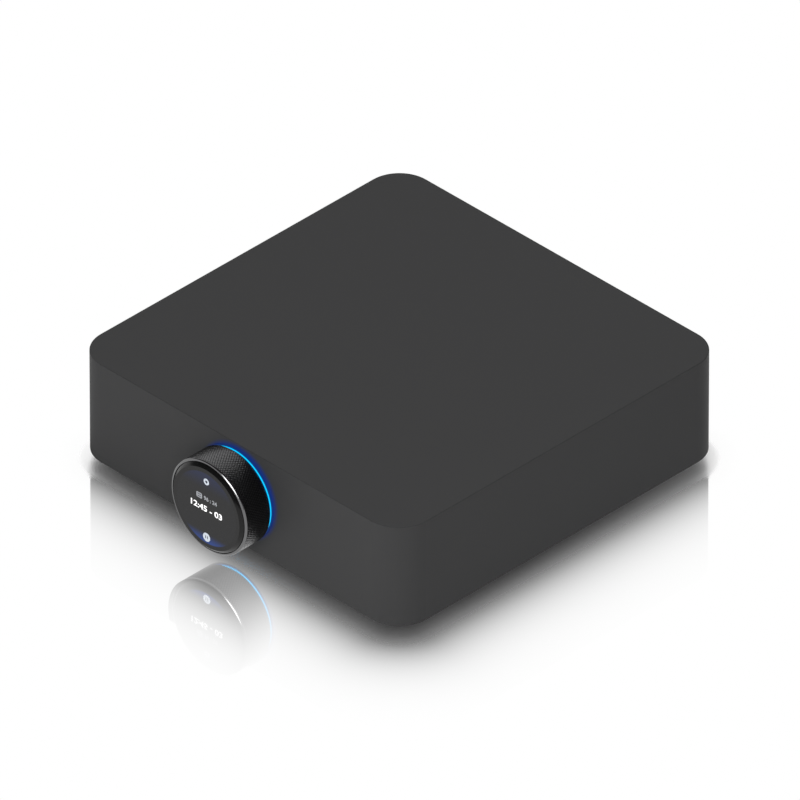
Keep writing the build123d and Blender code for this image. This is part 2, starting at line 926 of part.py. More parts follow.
# Main board, with its cable connectors and the header of the power leads
header_rise = board_top + header_height
main_header_x = main_left + header_width
psu_header_x = psu_right - header_width
header_y = standoff_rows[1] + header_depth
with BuildPart() as main_board:
    block(main_mid, board_mid, board_bottom, main_right - main_left, board_depth, board_thickness)
    can(main_standoffs, board_bottom, small_shank + head_gap, board_thickness, Mode.SUBTRACT)
    display_connector_width = cable_width + 2 * connector_margin
    block(0, connector_y, board_top, display_connector_width, connector_depth, connector_height)
    block(
        light_cable_x,
        connector_y,
        board_top,
        light_cable_width + 2 * connector_margin,
        connector_depth,
        light_cable_z + cable_thickness - board_top,
    )
    block(main_header_x, header_y, board_top, header_width, header_depth, header_height)
save(main_board.part, "main_board")

# Power supply board
with BuildPart() as psu_board:
    block(psu_mid, board_mid, board_bottom, psu_width, board_depth, board_thickness)
    can(psu_standoffs, board_bottom, small_shank + head_gap, board_thickness, Mode.SUBTRACT)
    block(psu_header_x, header_y, board_top, header_width, header_depth, header_height)
save(psu_board.part, "psu_board")

# Leads from the power supply to the main board
with BuildPart() as power_leads:
    for k in range(lead_count):
        lead_y = header_y + (k - (lead_count - 1) / 2) * lead_pitch
        with BuildLine() as lead_path:
            FilletPolyline(
                (psu_header_x, lead_y, header_rise),
                (psu_header_x, lead_y, header_rise + lead_rise),
                (main_header_x, lead_y, header_rise + lead_rise),
                (main_header_x, lead_y, header_rise),
                radius=lead_bend,
            )
        with BuildSketch(Plane.XY.offset(header_rise)):
            with Locations((psu_header_x, lead_y)):
                Circle(lead_radius)
        sweep(path=lead_path.line)
save(power_leads.part, "power_leads")

# Screening cans over the processor and the radio
radio_x = main_left + radio_from_left
radio_y = board_back - radio_from_back
shield_x = main_left + shield_from_left
with BuildPart() as shield_cans:
    block(shield_x, board_mid, board_top, shield_side, shield_side, shield_height)
    block(radio_x, radio_y, board_top, radio_width, radio_depth, radio_height)
save(shield_cans.part, "shield_cans")

# Amplifier chips under the heat sink, and the switch behind the reset button
heat_sink_x = main_right - heat_sink_width / 2 - heat_sink_from_right
switch_front = panel_face - slip - reset_stem - reset_gap
with BuildPart() as board_chips:
    for offset in (-chip_side, chip_side):
        block(heat_sink_x, board_mid + offset, board_top, chip_side, chip_side, chip_height)
    bar(reset_x, reset_z, reset_width, reset_height, switch_front - switch_depth, switch_front)
save(board_chips.part, "board_chips")

with BuildPart() as heat_sink:
    base_z = board_top + chip_height
    block(heat_sink_x, board_mid, base_z, heat_sink_width, heat_sink_depth, heat_sink_base)
    with Locations((heat_sink_x, board_mid, base_z + heat_sink_base)):
        with GridLocations((heat_sink_width - fin_thickness) / (fin_count - 1), 0, fin_count, 1):
            Box(
                fin_thickness,
                heat_sink_depth,
                fin_height,
                align=(Align.CENTER, Align.CENTER, Align.MIN),
            )
    foot_x = heat_sink_width / 2 - heat_sink_foot
    foot_y = heat_sink_depth / 2 - heat_sink_foot
    foot_places = [
        (heat_sink_x + x, board_mid + y) for x in (-foot_x, foot_x) for y in (-foot_y, foot_y)
    ]
    can(foot_places, board_top, heat_sink_foot, chip_height)
save(heat_sink.part, "heat_sink")

# Output coils behind the speaker posts
coil_y = board_back - coil_from_back
coil_start = heat_sink_x - (coil_count - 1) / 2 * coil_pitch
with BuildPart() as output_coils:
    coil_places = [(coil_start + k * coil_pitch, coil_y) for k in range(coil_count)]
    can(coil_places, board_top, coil_radius, coil_height)
save(output_coils.part, "output_coils")

# Capacitors of both boards
bulk_y = board_back - bulk_from_back
store_y = board_front + store_from_front
small_y = board_front + small_can_from_front
with BuildPart() as capacitors:
    can([(psu_mid, bulk_y)], board_top, bulk_radius, bulk_height)
    store_places = [(main_mid + k * store_pitch, store_y) for k in (0, 1)]
    can(store_places, board_top, store_radius, store_height)
    small_places = [(psu_mid + side * small_can_pitch / 2, small_y) for side in (-1, 1)]
    can(small_places, board_top, small_can_radius, small_can_height)
save(capacitors.part, "capacitors")

# Transformer: a core with two windows, and the winding round its middle leg
transformer_y = board_front + transformer_from_front
window_span = core_width / 2 - core_leg
core_window = core_height - core_leg
window_z = board_top + core_leg / 2
with BuildPart() as power_transformer:
    block(psu_mid, transformer_y, board_top, core_width, core_depth, core_height)
    for side in (-1, 1):
        window_x = psu_mid + side * (core_leg + window_span) / 2
        block(
            window_x,
            transformer_y,
            window_z,
            window_span,
            core_depth,
            core_window,
            Mode.SUBTRACT,
        )
    with BuildSketch(Plane.XY.offset(window_z + slip)):
        with Locations((psu_mid, transformer_y)):
            Rectangle(core_leg + 2 * window_span - 2 * slip, winding_depth)
            Rectangle(core_leg + 2 * slip, core_depth + 2 * slip, mode=Mode.SUBTRACT)
    extrude(amount=core_window - 2 * slip)
save(power_transformer.part, "power_transformer")

with BuildPart() as mains_choke:
    choke_place = [(psu_mid, board_back - choke_from_back)]
    can(choke_place, board_top, choke_outer, choke_height)
    can(choke_place, board_top, choke_inner, choke_height, Mode.SUBTRACT)
    fillet(mains_choke.edges().group_by(Axis.Z)[-1], edge_round)
save(mains_choke.part, "mains_choke")

# Aerials on the rear panel's inner face, and their thin leads to the radio
antenna_z = panel_vent_z - (panel_vent_height + antenna_height) / 2 - slip
antenna_y = panel_back - antenna_thickness
antenna_mid = (psu_left + rca_x - rca_block_side / 2) / 2
antenna_places = [antenna_mid - antenna_spread / 2, antenna_mid + antenna_spread / 2]
with BuildPart() as antennas:
    for x in antenna_places:
        bar(x, antenna_z, antenna_width, antenna_height, antenna_y, panel_back)
save(antennas.part, "antennas")

with BuildPart() as antenna_leads:
    for x, side in zip(antenna_places, (-1, 1)):
        end_x = radio_x + side * radio_width / 4
        with BuildLine() as coax_path:
            FilletPolyline(
                (x, antenna_y, antenna_z),
                (x, board_back - coax_turn, antenna_z),
                (end_x, radio_y, antenna_z),
                (end_x, radio_y, board_top + radio_height),
                radius=coax_bend,
            )
        with BuildSketch(upright(antenna_y)):
            with Locations((x, antenna_z)):
                Circle(coax_radius)
        sweep(path=coax_path.line)
save(antenna_leads.part, "antenna_leads")

# Mains inlet and its two pins
with BuildPart() as power_inlet:
    inlet_back = panel_face - inlet_slot_depth
    bar(inlet_x, inlet_z, inlet_width, inlet_height, panel_face - inlet_depth, panel_face, edge_round)
    bar(
        inlet_x,
        inlet_z,
        inlet_slot_width,
        inlet_slot_height,
        inlet_back,
        panel_face,
        inlet_slot_height / 2 - slip,
        Mode.SUBTRACT,
    )
save(power_inlet.part, "power_inlet")

with BuildPart() as inlet_pins:
    pin_places = [(inlet_x + side * inlet_pin_pitch / 2, inlet_z) for side in (-1, 1)]
    tube(pin_places, inlet_pin_radius, 0, inlet_back, inlet_back + inlet_pin_length)
    fillet(inlet_pins.edges().group_by(Axis.Y)[-1], inlet_pin_radius / 2)
save(inlet_pins.part, "inlet_pins")

# Network socket with the notch for its plug's latch
with BuildPart() as ethernet_jack:
    bar(
        ethernet_x,
        ethernet_z,
        ethernet_width,
        ethernet_height,
        panel_face - ethernet_depth,
        panel_face,
        edge_round,
    )
    mouth_back = panel_face - ethernet_mouth_depth
    bar(
        ethernet_x,
        ethernet_z,
        ethernet_mouth_width,
        ethernet_mouth_height,
        mouth_back,
        panel_face,
        0,
        Mode.SUBTRACT,
    )
    bar(
        ethernet_x,
        ethernet_z - (ethernet_mouth_height + ethernet_latch_height) / 2,
        ethernet_latch_width,
        ethernet_latch_height,
        mouth_back,
        panel_face,
        0,
        Mode.SUBTRACT,
    )
save(ethernet_jack.part, "ethernet_jack")

# Flat digital socket with its tongue
with BuildPart() as hdmi_socket:
    hdmi_rear = panel_face - hdmi_depth
    bar(hdmi_x, hdmi_z, hdmi_width, hdmi_height, hdmi_rear, panel_face, edge_round)
    bar(
        hdmi_x,
        hdmi_z,
        hdmi_width - 2 * hdmi_wall,
        hdmi_height - 2 * hdmi_wall,
        hdmi_rear + hdmi_back,
        panel_face,
        0,
        Mode.SUBTRACT,
    )
    bar(
        hdmi_x,
        hdmi_z,
        hdmi_tongue_width,
        hdmi_tongue_height,
        hdmi_rear + hdmi_back,
        hdmi_rear + hdmi_back + hdmi_tongue_length,
    )
save(hdmi_socket.part, "hdmi_socket")

# Optical socket, and the shutter that its plug pushes in
shutter_side = optical_mouth - 2 * shutter_gap
pivot_z = optical_z + optical_mouth / 2 - shutter_gap - shutter_thickness / 2
pivot_y = panel_face - shutter_gap - shutter_thickness / 2
pin_half = optical_mouth / 2 + shutter_pin_reach
with BuildPart() as optical_socket:
    bar(
        optical_x,
        optical_z,
        optical_width,
        optical_height,
        panel_face - optical_depth,
        panel_face,
        edge_round,
    )
    bar(
        optical_x,
        optical_z,
        optical_mouth,
        optical_mouth,
        panel_face - optical_mouth_depth,
        panel_face,
        0,
        Mode.SUBTRACT,
    )
    with Locations((optical_x, pivot_y, pivot_z)):
        Cylinder(
            shutter_pin_radius + running,
            2 * (pin_half + running),
            rotation=(0, 90, 0),
            mode=Mode.SUBTRACT,
        )
save(optical_socket.part, "optical_socket")

with BuildPart() as optical_shutter:
    bar(
        optical_x,
        optical_z,
        shutter_side,
        shutter_side,
        pivot_y - shutter_thickness / 2,
        pivot_y + shutter_thickness / 2,
    )
    top_edges = optical_shutter.edges().filter_by(Axis.X).group_by(Axis.Z)[-1]
    fillet(top_edges, shutter_thickness / 2 - running)
    with Locations((optical_x, pivot_y, pivot_z)):
        Cylinder(shutter_pin_radius, 2 * pin_half, rotation=(0, 90, 0))
save(optical_shutter.part, "optical_shutter")

# Reset button, held behind the panel by its flange
with BuildPart() as reset_button:
    stem_front = panel_face - slip
    tube([(reset_x, reset_z)], reset_radius, 0, stem_front - reset_stem, stem_front)
    flange_front = panel_back - slip
    tube(
        [(reset_x, reset_z)],
        reset_flange_radius,
        0,
        flange_front - reset_flange_thickness,
        flange_front,
    )
save(reset_button.part, "reset_button")

# Three round signal sockets on one block, two of them one above the other
rca_back = panel_back - rca_block_depth
rca_seat = panel_back - rca_seat_depth
with BuildPart() as rca_block:
    bar(rca_x, rca_z, rca_block_side, rca_block_side, rca_back, panel_back)
    tube(rca_places, rca_outer, 0, rca_seat, panel_back, Mode.SUBTRACT)
save(rca_block.part, "rca_block")

with BuildPart() as rca_sleeves:
    tube(rca_places, rca_outer, rca_inner, rca_seat, panel_face + rca_reach)
    tube(rca_places, rca_flange_radius, rca_inner, panel_face, panel_face + rca_flange_thickness)
save(rca_sleeves.part, "rca_sleeves")

with BuildPart() as rca_inserts:
    insert_front = panel_face + rca_reach - rca_insert_sunk
    tube(rca_places, rca_inner, 0, rca_seat, insert_front)
    tube(rca_places, rca_hole, 0, insert_front - rca_hole_depth, insert_front, Mode.SUBTRACT)
save(rca_inserts.part, "rca_inserts")

# Block that carries the speaker posts, with a collar through the panel for each
terminal_back = panel_back - terminal_depth
with BuildPart() as terminal_block:
    bar(terminal_x, terminal_z, terminal_side, terminal_side, terminal_back, panel_back)
    tube(post_places, collar_radius, 0, panel_back, panel_face + collar_thickness)
    tube(post_places, stud_radius, 0, terminal_back, panel_face + collar_thickness, Mode.SUBTRACT)
save(terminal_block.part, "terminal_block")

# Studs with a bore for a plug, their nuts, and the tabs down to the main board
tab_back = terminal_back - tab_thickness
nut_back = tab_back - nut_thickness
stud_front = panel_face + stud_reach
with BuildPart() as post_studs:
    tube(post_places, stud_radius, 0, nut_back - stud_tail, stud_front)
    tube(post_places, banana_radius, 0, stud_front - banana_depth, stud_front, Mode.SUBTRACT)
    with BuildSketch(upright(tab_back)):
        with Locations(*post_places):
            RegularPolygon(nut_radius, 6)
    extrude(amount=nut_thickness)
    for place, (x, z) in enumerate(post_places):
        upper = z > terminal_z
        side = 1 if x < terminal_x else -1
        leg_x = x + side * tab_offset if upper else x
        with BuildSketch(upright(terminal_back)):
            with Locations((x, z)):
                Circle(tab_radius)
            with Locations(((x + leg_x) / 2, z)):
                Rectangle(abs(leg_x - x) + tab_leg_width, tab_leg_width)
            with Locations((leg_x, (z + board_top) / 2)):
                Rectangle(tab_leg_width, z - board_top)
        extrude(amount=tab_thickness)
save(post_studs.part, "post_studs")

# Screw caps of the posts, each with the washer that it pushes
washer_back = panel_face + collar_thickness + washer_gap
cap_back = washer_back + washer_thickness + washer_gap
for number, place in enumerate(post_places, start=1):
    with BuildPart() as post_washer:
        tube([place], washer_radius, stud_radius + running, washer_back, washer_back + washer_thickness)
    save(post_washer.part, f"post_washer_{number}")
    with BuildPart() as post_cap:
        tube([place], cap_radius, stud_radius + running, cap_back, cap_back + cap_length)
        fillet(post_cap.faces().sort_by(Axis.Y)[-1].outer_wire().edges(), cap_rim)
    save(post_cap.part, f"post_cap_{number}")
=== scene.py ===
import json
import math

import bmesh
import bpy
from mathutils import Matrix, Vector


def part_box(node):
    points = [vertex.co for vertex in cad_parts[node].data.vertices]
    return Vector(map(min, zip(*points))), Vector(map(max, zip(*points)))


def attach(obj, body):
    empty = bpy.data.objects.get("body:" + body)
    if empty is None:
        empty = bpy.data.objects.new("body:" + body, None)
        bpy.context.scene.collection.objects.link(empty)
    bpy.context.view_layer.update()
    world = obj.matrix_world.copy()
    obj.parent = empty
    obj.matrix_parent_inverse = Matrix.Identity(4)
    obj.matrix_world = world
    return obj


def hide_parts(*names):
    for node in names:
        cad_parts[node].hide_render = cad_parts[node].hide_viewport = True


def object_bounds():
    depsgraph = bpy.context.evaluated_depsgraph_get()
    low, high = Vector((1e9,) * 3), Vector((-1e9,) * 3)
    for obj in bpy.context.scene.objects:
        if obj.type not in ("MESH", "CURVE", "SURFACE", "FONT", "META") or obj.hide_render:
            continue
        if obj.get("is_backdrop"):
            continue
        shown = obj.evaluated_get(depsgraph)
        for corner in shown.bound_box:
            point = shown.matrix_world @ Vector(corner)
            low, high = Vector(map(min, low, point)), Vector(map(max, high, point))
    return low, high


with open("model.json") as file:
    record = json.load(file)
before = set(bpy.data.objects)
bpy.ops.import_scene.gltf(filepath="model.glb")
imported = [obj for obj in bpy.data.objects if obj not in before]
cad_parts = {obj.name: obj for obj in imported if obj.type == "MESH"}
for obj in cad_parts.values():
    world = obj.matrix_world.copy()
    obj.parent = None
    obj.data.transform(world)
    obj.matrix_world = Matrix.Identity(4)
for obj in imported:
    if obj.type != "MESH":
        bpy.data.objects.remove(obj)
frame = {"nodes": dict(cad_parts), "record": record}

# Lengths are in metres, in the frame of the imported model: the front is -Y and +Z is up.
MM = 0.001
cad_low, cad_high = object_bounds()
nodes = frame["nodes"]

BLACK = (0.0, 0.0, 0.0, 1.0)
WHITE = (1.0, 1.0, 1.0, 1.0)


def middle(name):
    """Middle of a node's box."""
    low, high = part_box(name)
    return (low + high) / 2


# Places that the materials and the pieces share

dial_x, _, dial_z = middle("display_glass")
front_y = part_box("top_shell")[0].y
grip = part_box("dial_ring")[1].z - dial_z  # the dial's radius


def at(depth):
    """Y of a place that many millimetres in front of the shell's front face."""
    return front_y - depth * MM


knurl_rear = at(2.9)
knurl_front = at(17.1)
diamonds_round = 112
diamonds_along = 7


# Materials

class Nodes:
    """The node tree of a material or a world, with short calls that add nodes to it.

    Colour and gloss are laid out in the object's own coordinates."""

    def __init__(self, owner, coordinates="Object"):
        owner.use_nodes = True
        self.owner = owner
        self.tree = owner.node_tree
        self.tree.nodes.clear()
        self.place = self.add("ShaderNodeTexCoord").outputs[coordinates]

    def put(self, socket, value):
        """Links a socket to another one, or sets its value."""
        if isinstance(value, bpy.types.NodeSocket):
            self.tree.links.new(value, socket)
        else:
            socket.default_value = value

    def add(self, kind, settings=None, values=(), **inputs):
        """A new node; the values fill its inputs in order, and the other inputs are named."""
        made = self.tree.nodes.new(kind)
        for key, value in (settings or {}).items():
            setattr(made, key, value)
        for socket, value in zip(made.inputs, values):
            self.put(socket, value)
        for key, value in inputs.items():
            self.put(made.inputs[key.replace("_", " ")], value)
        return made

    def sum(self, operation, *values):
        """One step of arithmetic on numbers or sockets."""
        return self.add("ShaderNodeMath", {"operation": operation}, values).outputs[0]

    def hypot(self, first, second):
        """Length of the step that two steps at a right angle make."""
        squares = [self.sum("POWER", value, 2.0) for value in (first, second)]
        return self.sum("SQRT", self.sum("ADD", *squares))

    def axes(self):
        """X, Y and Z of the place that is shaded."""
        return tuple(self.add("ShaderNodeSeparateXYZ", Vector=self.place).outputs)

    def span(self, value, low, high, new_low, new_high, smooth=False):
        """Lays the span from low to high over another one, and stops at its ends."""
        settings = {"interpolation_type": "SMOOTHSTEP" if smooth else "LINEAR", "clamp": True}
        values = (value, low, high, new_low, new_high)
        return self.add("ShaderNodeMapRange", settings, values).outputs[0]

    def noise(self, grain, stretch=(1, 1, 1), detail=2.0):
        """Noise from 0 to 1 whose grain is that many millimetres across."""
        mapped = self.add("ShaderNodeMapping", Vector=self.place, Scale=stretch)
        made = self.add(
            "ShaderNodeTexNoise",
            Vector=mapped.outputs[0],
            Scale=1 / (grain * MM),
            Detail=detail,
            Roughness=0.6,
        )
        return self.span(made.outputs[0], 0.3, 0.7, 0.0, 1.0)

    def mix(self, factor, first, second):
        """Blend of two colours."""
        made = self.add("ShaderNodeMix", {"data_type": "RGBA"}, Factor=factor)
        colours = [socket for socket in made.inputs if socket.type == "RGBA"]
        for socket, colour in zip(colours, (first, second)):
            self.put(socket, colour)
        return next(socket for socket in made.outputs if socket.type == "RGBA")

    def blend(self, factor, first, second):
        """Blend of two surfaces."""
        return self.add("ShaderNodeMixShader", None, (factor, first, second)).outputs[0]

    def output(self, surface, kind="ShaderNodeOutputMaterial"):
        """Ends the tree and gives what it belongs to."""
        self.add(kind, Surface=surface)
        return self.owner


def shade(colour, factor):
    """A colour made lighter or darker."""
    return tuple(min(1.0, c * factor) for c in colour[:3]) + (1.0,)


def finish(
    name,
    colour,
    rough,
    metal=0.0,
    level=0.5,
    ior=1.5,
    coat=0.0,
    grain=0.5,
    depth=0.01,
    mottle=0.1,
    spread=0.08,
    stretch=(1, 1, 1),
    broad=30.0,
    anisotropic=0.0,
    sheen=0.0,
    glow=None,
    glow_strength=0.0,
    paint=None,
    height=None,
):
    """A Principled material with a fine grain, a broad unevenness and a bump of the same grain.

    Grain, broad and depth are in millimetres. Paint, glow and height are functions that lay a
    pattern over the colour, the light and the bump."""
    s = Nodes(bpy.data.materials.new(name))
    fine = s.noise(grain, stretch)
    wide = s.noise(broad, detail=3.0)
    tone = s.sum("MULTIPLY_ADD", wide, 0.5, s.sum("MULTIPLY", fine, 0.5))
    base = s.mix(tone, shade(colour, 1 - mottle), shade(colour, 1 + mottle))
    if paint:
        base = paint(s, base)
    inputs = {
        "Base_Color": base,
        "Roughness": s.span(tone, 0.0, 1.0, max(0.02, rough - spread), min(1.0, rough + spread)),
        "Metallic": metal,
        "IOR": ior,
        "Specular_IOR_Level": level,
        "Coat_Weight": coat,
        "Coat_Roughness": 0.05,
        "Anisotropic": anisotropic,
        "Sheen_Weight": sheen,
    }
    if depth:
        relief = height(s, fine) if height else fine
        bump = s.add("ShaderNodeBump", Strength=1.0, Distance=depth * MM, Height=relief)
        inputs["Normal"] = bump.outputs[0]
    if glow:
        inputs["Emission_Color"] = glow(s) if callable(glow) else glow
        inputs["Emission_Strength"] = glow_strength
    return s.output(s.add("ShaderNodeBsdfPrincipled", **inputs).outputs[0])


def knurl_groove_shade(s, base):
    """Painted shade in the grooves between the knurl's diamonds."""
    x, y, z = s.axes()
    across = s.sum("SUBTRACT", x, dial_x)
    up = s.sum("SUBTRACT", z, dial_z)
    column = s.sum("MULTIPLY", s.sum("ARCTAN2", up, across), diamonds_round / (2 * math.pi))
    along = s.sum("SUBTRACT", y, knurl_rear)
    row = s.sum("MULTIPLY", along, diamonds_along / (knurl_front - knurl_rear))
    one, other = [s.sum("PINGPONG", s.sum(way, column, row), 0.5) for way in ("ADD", "SUBTRACT")]
    groove_shade = s.span(s.sum("MINIMUM", one, other), 0.07, 0.17, 1.0, 0.0)
    past_rear = s.sum("LESS_THAN", y, knurl_rear)
    short_of_front = s.sum("GREATER_THAN", y, knurl_front)
    outside = s.sum("GREATER_THAN", s.hypot(across, up), grip - 0.3 * MM)
    on_grip = s.sum("MULTIPLY", s.sum("MULTIPLY", past_rear, short_of_front), outside)
    return s.mix(s.sum("MULTIPLY", groove_shade, on_grip), base, (0.012, 0.012, 0.013, 1))


def insert_paint(s, base):
    """White, red and grey-blue sockets, told apart by where they stand."""
    x, _, z = s.axes()
    centre = middle("rca_inserts")
    right = s.sum("GREATER_THAN", x, centre.x)
    upper = s.sum("GREATER_THAN", z, centre.z)
    left = s.mix(upper, (0.42, 0.02, 0.018, 1), (0.62, 0.61, 0.58, 1))
    return s.mix(right, left, (0.09, 0.07, 0.19, 1))


def board_paint(s, base):
    """Copper traces that show as paler lines through the solder mask."""
    cells = s.add(
        "ShaderNodeTexBrick", {"offset": 0.5},
        Vector=s.place, Scale=1 / (6 * MM), Mortar_Size=0.03,
    )
    return s.mix(cells.outputs["Fac"], base, (0.05, 0.2, 0.09, 1))


def winding_height(s, fine):
    """Turns of wire."""
    wave = s.add(
        "ShaderNodeTexWave", {"bands_direction": "Z"}, Vector=s.place, Scale=1 / (6 * MM)
    )
    return wave.outputs["Fac"]


def guide_glow(s):
    """Light of the ring: a bright line round it, and dimmer blue where it meets the wall."""
    dim, bright, face = (0.0, 0.02, 0.14, 1), (0.0, 0.65, 1.2, 1), (0.0, 0.004, 0.02, 1)
    y = s.axes()[1]
    out = s.sum("MULTIPLY", s.sum("SUBTRACT", front_y, y), 1 / MM)
    line = s.mix(s.span(out, 0.15, 0.25, 0.0, 1.0), dim, bright)
    return s.mix(s.span(out, 0.9, 1.05, 0.0, 1.0), line, face)


def from_dial(s, aside=0.0):
    """Distances across and up from the dial's middle, in millimetres."""
    x, _, z = s.axes()
    return [
        s.sum("MULTIPLY", s.sum("SUBTRACT", value, centre + aside * MM), 1 / MM)
        for value, centre in ((x, dial_x), (z, dial_z))
    ]


def painted_spill_and_shade(s):
    """Mask of the painted spill of the ring's light on the wall, also used for painted shade in
    the gap behind the dial, from 0 to 1; it reaches farther up and right.
    """
    radius = s.hypot(*from_dial(s, aside=2.0))
    on_wall = s.sum("LESS_THAN", s.axes()[1], front_y + 0.2 * MM)
    return s.sum("MULTIPLY", s.span(radius, 22.0, 26.5, 1.0, 0.0, True), on_wall)


def wall_painted_spill(s):
    """Painted blue spill of the ring's light on the wall round it, laid on as glow in the wall's
    paint.
    """
    return s.mix(painted_spill_and_shade(s), BLACK, (0.0, 0.017, 0.17, 1))


def wall_painted_shade(s, base):
    """Painted shade in the narrow gap behind the dial, and a painted shade line along the front
    wall's top edge.
    """
    _, y, z = s.axes()
    on_front = s.sum("LESS_THAN", y, front_y + 0.05 * MM)
    edge = s.span(z, cad_high.z - 0.6 * MM, cad_high.z - 0.3 * MM, 0.0, 0.55)
    shaded = s.sum("MAXIMUM", painted_spill_and_shade(s), s.sum("MULTIPLY", edge, on_front))
    return s.mix(shaded, base, (0.008, 0.008, 0.009, 1))


def lens_glow(s):
    """Light of the display behind the glass: faint at its top, stronger in a foot segment."""
    lit_radius = 19.6
    across, up = from_dial(s)
    lit = s.span(s.hypot(across, up), lit_radius - 0.3, lit_radius + 0.2, 1.0, 0.0)
    top = s.sum("MULTIPLY", s.span(up, 9.0, lit_radius, 0.0, 1.0, True), lit)
    foot = s.sum("MULTIPLY", s.span(up, -13.6, -lit_radius, 0.0, 1.0, True), lit)
    cell = s.mix(lit, BLACK, (0.0025, 0.0025, 0.003, 1))
    upper = s.mix(top, cell, (0.003, 0.008, 0.04, 1))
    return s.mix(foot, upper, (0.004, 0.036, 0.2, 1))


slot_finish = {
    # The shell's paint carries a painted spill of the ring's light, and painted shade round the
    # dial and along the front wall's top edge.
    "shell_paint": dict(
        colour=(0.0385, 0.0385, 0.039), rough=0.55, level=0.09, grain=0.35, depth=0.006,
        mottle=0.05, spread=0.03, broad=60.0, glow=wall_painted_spill, glow_strength=1.0,
        paint=wall_painted_shade,
    ),
    "plate_paint": dict(
        colour=(0.011, 0.011, 0.0115), rough=0.5, level=0.12, grain=0.4, depth=0.008
    ),
    "plinth_plastic": dict(
        colour=(0.024, 0.024, 0.025), rough=0.6, level=0.4, grain=0.25, depth=0.02, mottle=0.12
    ),
    "pad_rubber": dict(
        colour=(0.018, 0.018, 0.018), rough=0.8, level=0.3, grain=0.6, depth=0.03, mottle=0.15,
        sheen=0.1,
    ),
    "black_screws": dict(
        colour=(0.02, 0.02, 0.021), rough=0.35, metal=0.6, grain=0.3, depth=0.004
    ),
    "panel_plastic": dict(
        colour=(0.028, 0.028, 0.029), rough=0.58, level=0.4, grain=0.3, depth=0.02, mottle=0.1
    ),
    "plain_steel": dict(
        colour=(0.55, 0.55, 0.57), rough=0.3, metal=1.0, grain=0.2, depth=0.003
    ),
    "clear_sheet": dict(colour=(0.12, 0.12, 0.12), rough=0.4, grain=1.0, depth=0.004),
    # The grip's finish lays painted shade in the knurl's grooves.
    "black_aluminium": dict(
        colour=(0.135, 0.135, 0.138), rough=0.17, metal=1.0, grain=0.25, depth=0.002, mottle=0.1,
        spread=0.04, paint=knurl_groove_shade,
    ),
    "magnet": dict(colour=(0.06, 0.05, 0.05), rough=0.6, grain=0.3, depth=0.01),
    "bearing_steel": dict(
        colour=(0.68, 0.68, 0.7), rough=0.14, metal=1.0, grain=0.4, depth=0.001, spread=0.04,
        mottle=0.04,
    ),
    "cage_plastic": dict(colour=(0.6, 0.56, 0.46), rough=0.5, grain=0.5, depth=0.01),
    "plain_aluminium": dict(
        colour=(0.6, 0.6, 0.62), rough=0.35, metal=1.0, grain=0.3, depth=0.004, stretch=(1, 8, 1)
    ),
    "black_plastic": dict(colour=(0.018, 0.018, 0.018), rough=0.45, grain=0.3, depth=0.006),
    "display_cell": dict(
        colour=(0.006, 0.006, 0.008), rough=0.12, grain=2.0, depth=0, spread=0.03
    ),
    "circuit_board": dict(
        colour=(0.012, 0.075, 0.03), rough=0.35, coat=0.3, grain=0.8, depth=0.01,
        paint=board_paint,
    ),
    "flat_cable": dict(
        colour=(0.5, 0.26, 0.05), rough=0.35, grain=0.6, depth=0.01, mottle=0.15
    ),
    "light_guide": dict(
        colour=(0.01, 0.012, 0.02), rough=0.4, grain=0.6, depth=0, glow=guide_glow,
        glow_strength=1.0,
    ),
    "lead_jacket": dict(colour=(0.04, 0.04, 0.04), rough=0.5, grain=0.5, depth=0.005),
    "tinned_steel": dict(
        colour=(0.6, 0.6, 0.61), rough=0.32, metal=1.0, grain=0.4, depth=0.004,
        stretch=(10, 1, 1),
    ),
    "chip_black": dict(colour=(0.02, 0.02, 0.021), rough=0.6, grain=0.2, depth=0.008),
    "ferrite": dict(
        colour=(0.055, 0.055, 0.06), rough=0.65, grain=0.3, depth=0.015, mottle=0.15
    ),
    "can_sleeve": dict(
        colour=(0.016, 0.018, 0.03), rough=0.28, coat=0.2, grain=0.8, depth=0.006
    ),
    "copper_winding": dict(
        colour=(0.55, 0.2, 0.07), rough=0.3, metal=1.0, grain=0.3, depth=0.1,
        height=winding_height,
    ),
    "socket_plastic": dict(
        colour=(0.018, 0.018, 0.019), rough=0.42, grain=0.35, depth=0.008, mottle=0.12
    ),
    "socket_metal": dict(
        colour=(0.62, 0.62, 0.64), rough=0.26, metal=1.0, grain=0.35, depth=0.003,
        stretch=(6, 1, 1),
    ),
    "shutter_plastic": dict(colour=(0.022, 0.022, 0.023), rough=0.5, grain=0.3, depth=0.008),
    "gold_plate": dict(
        colour=(0.78, 0.52, 0.18), rough=0.2, metal=1.0, grain=0.3, depth=0.002, spread=0.05,
        mottle=0.05,
    ),
    "insert_plastic": dict(
        colour=(0.5, 0.5, 0.5), rough=0.35, grain=0.4, depth=0.004, paint=insert_paint
    ),
    "post_metal": dict(
        colour=(0.016, 0.016, 0.017), rough=0.33, level=0.6, grain=0.25, depth=0.003
    ),
}


def lit_mark(colour, glow_strength):
    """Finish of a lit mark on the display."""
    return dict(
        colour=shade(colour, 0.5), rough=0.4, grain=0.3, depth=0, mottle=0.05,
        glow=colour + (1.0,), glow_strength=glow_strength,
    )


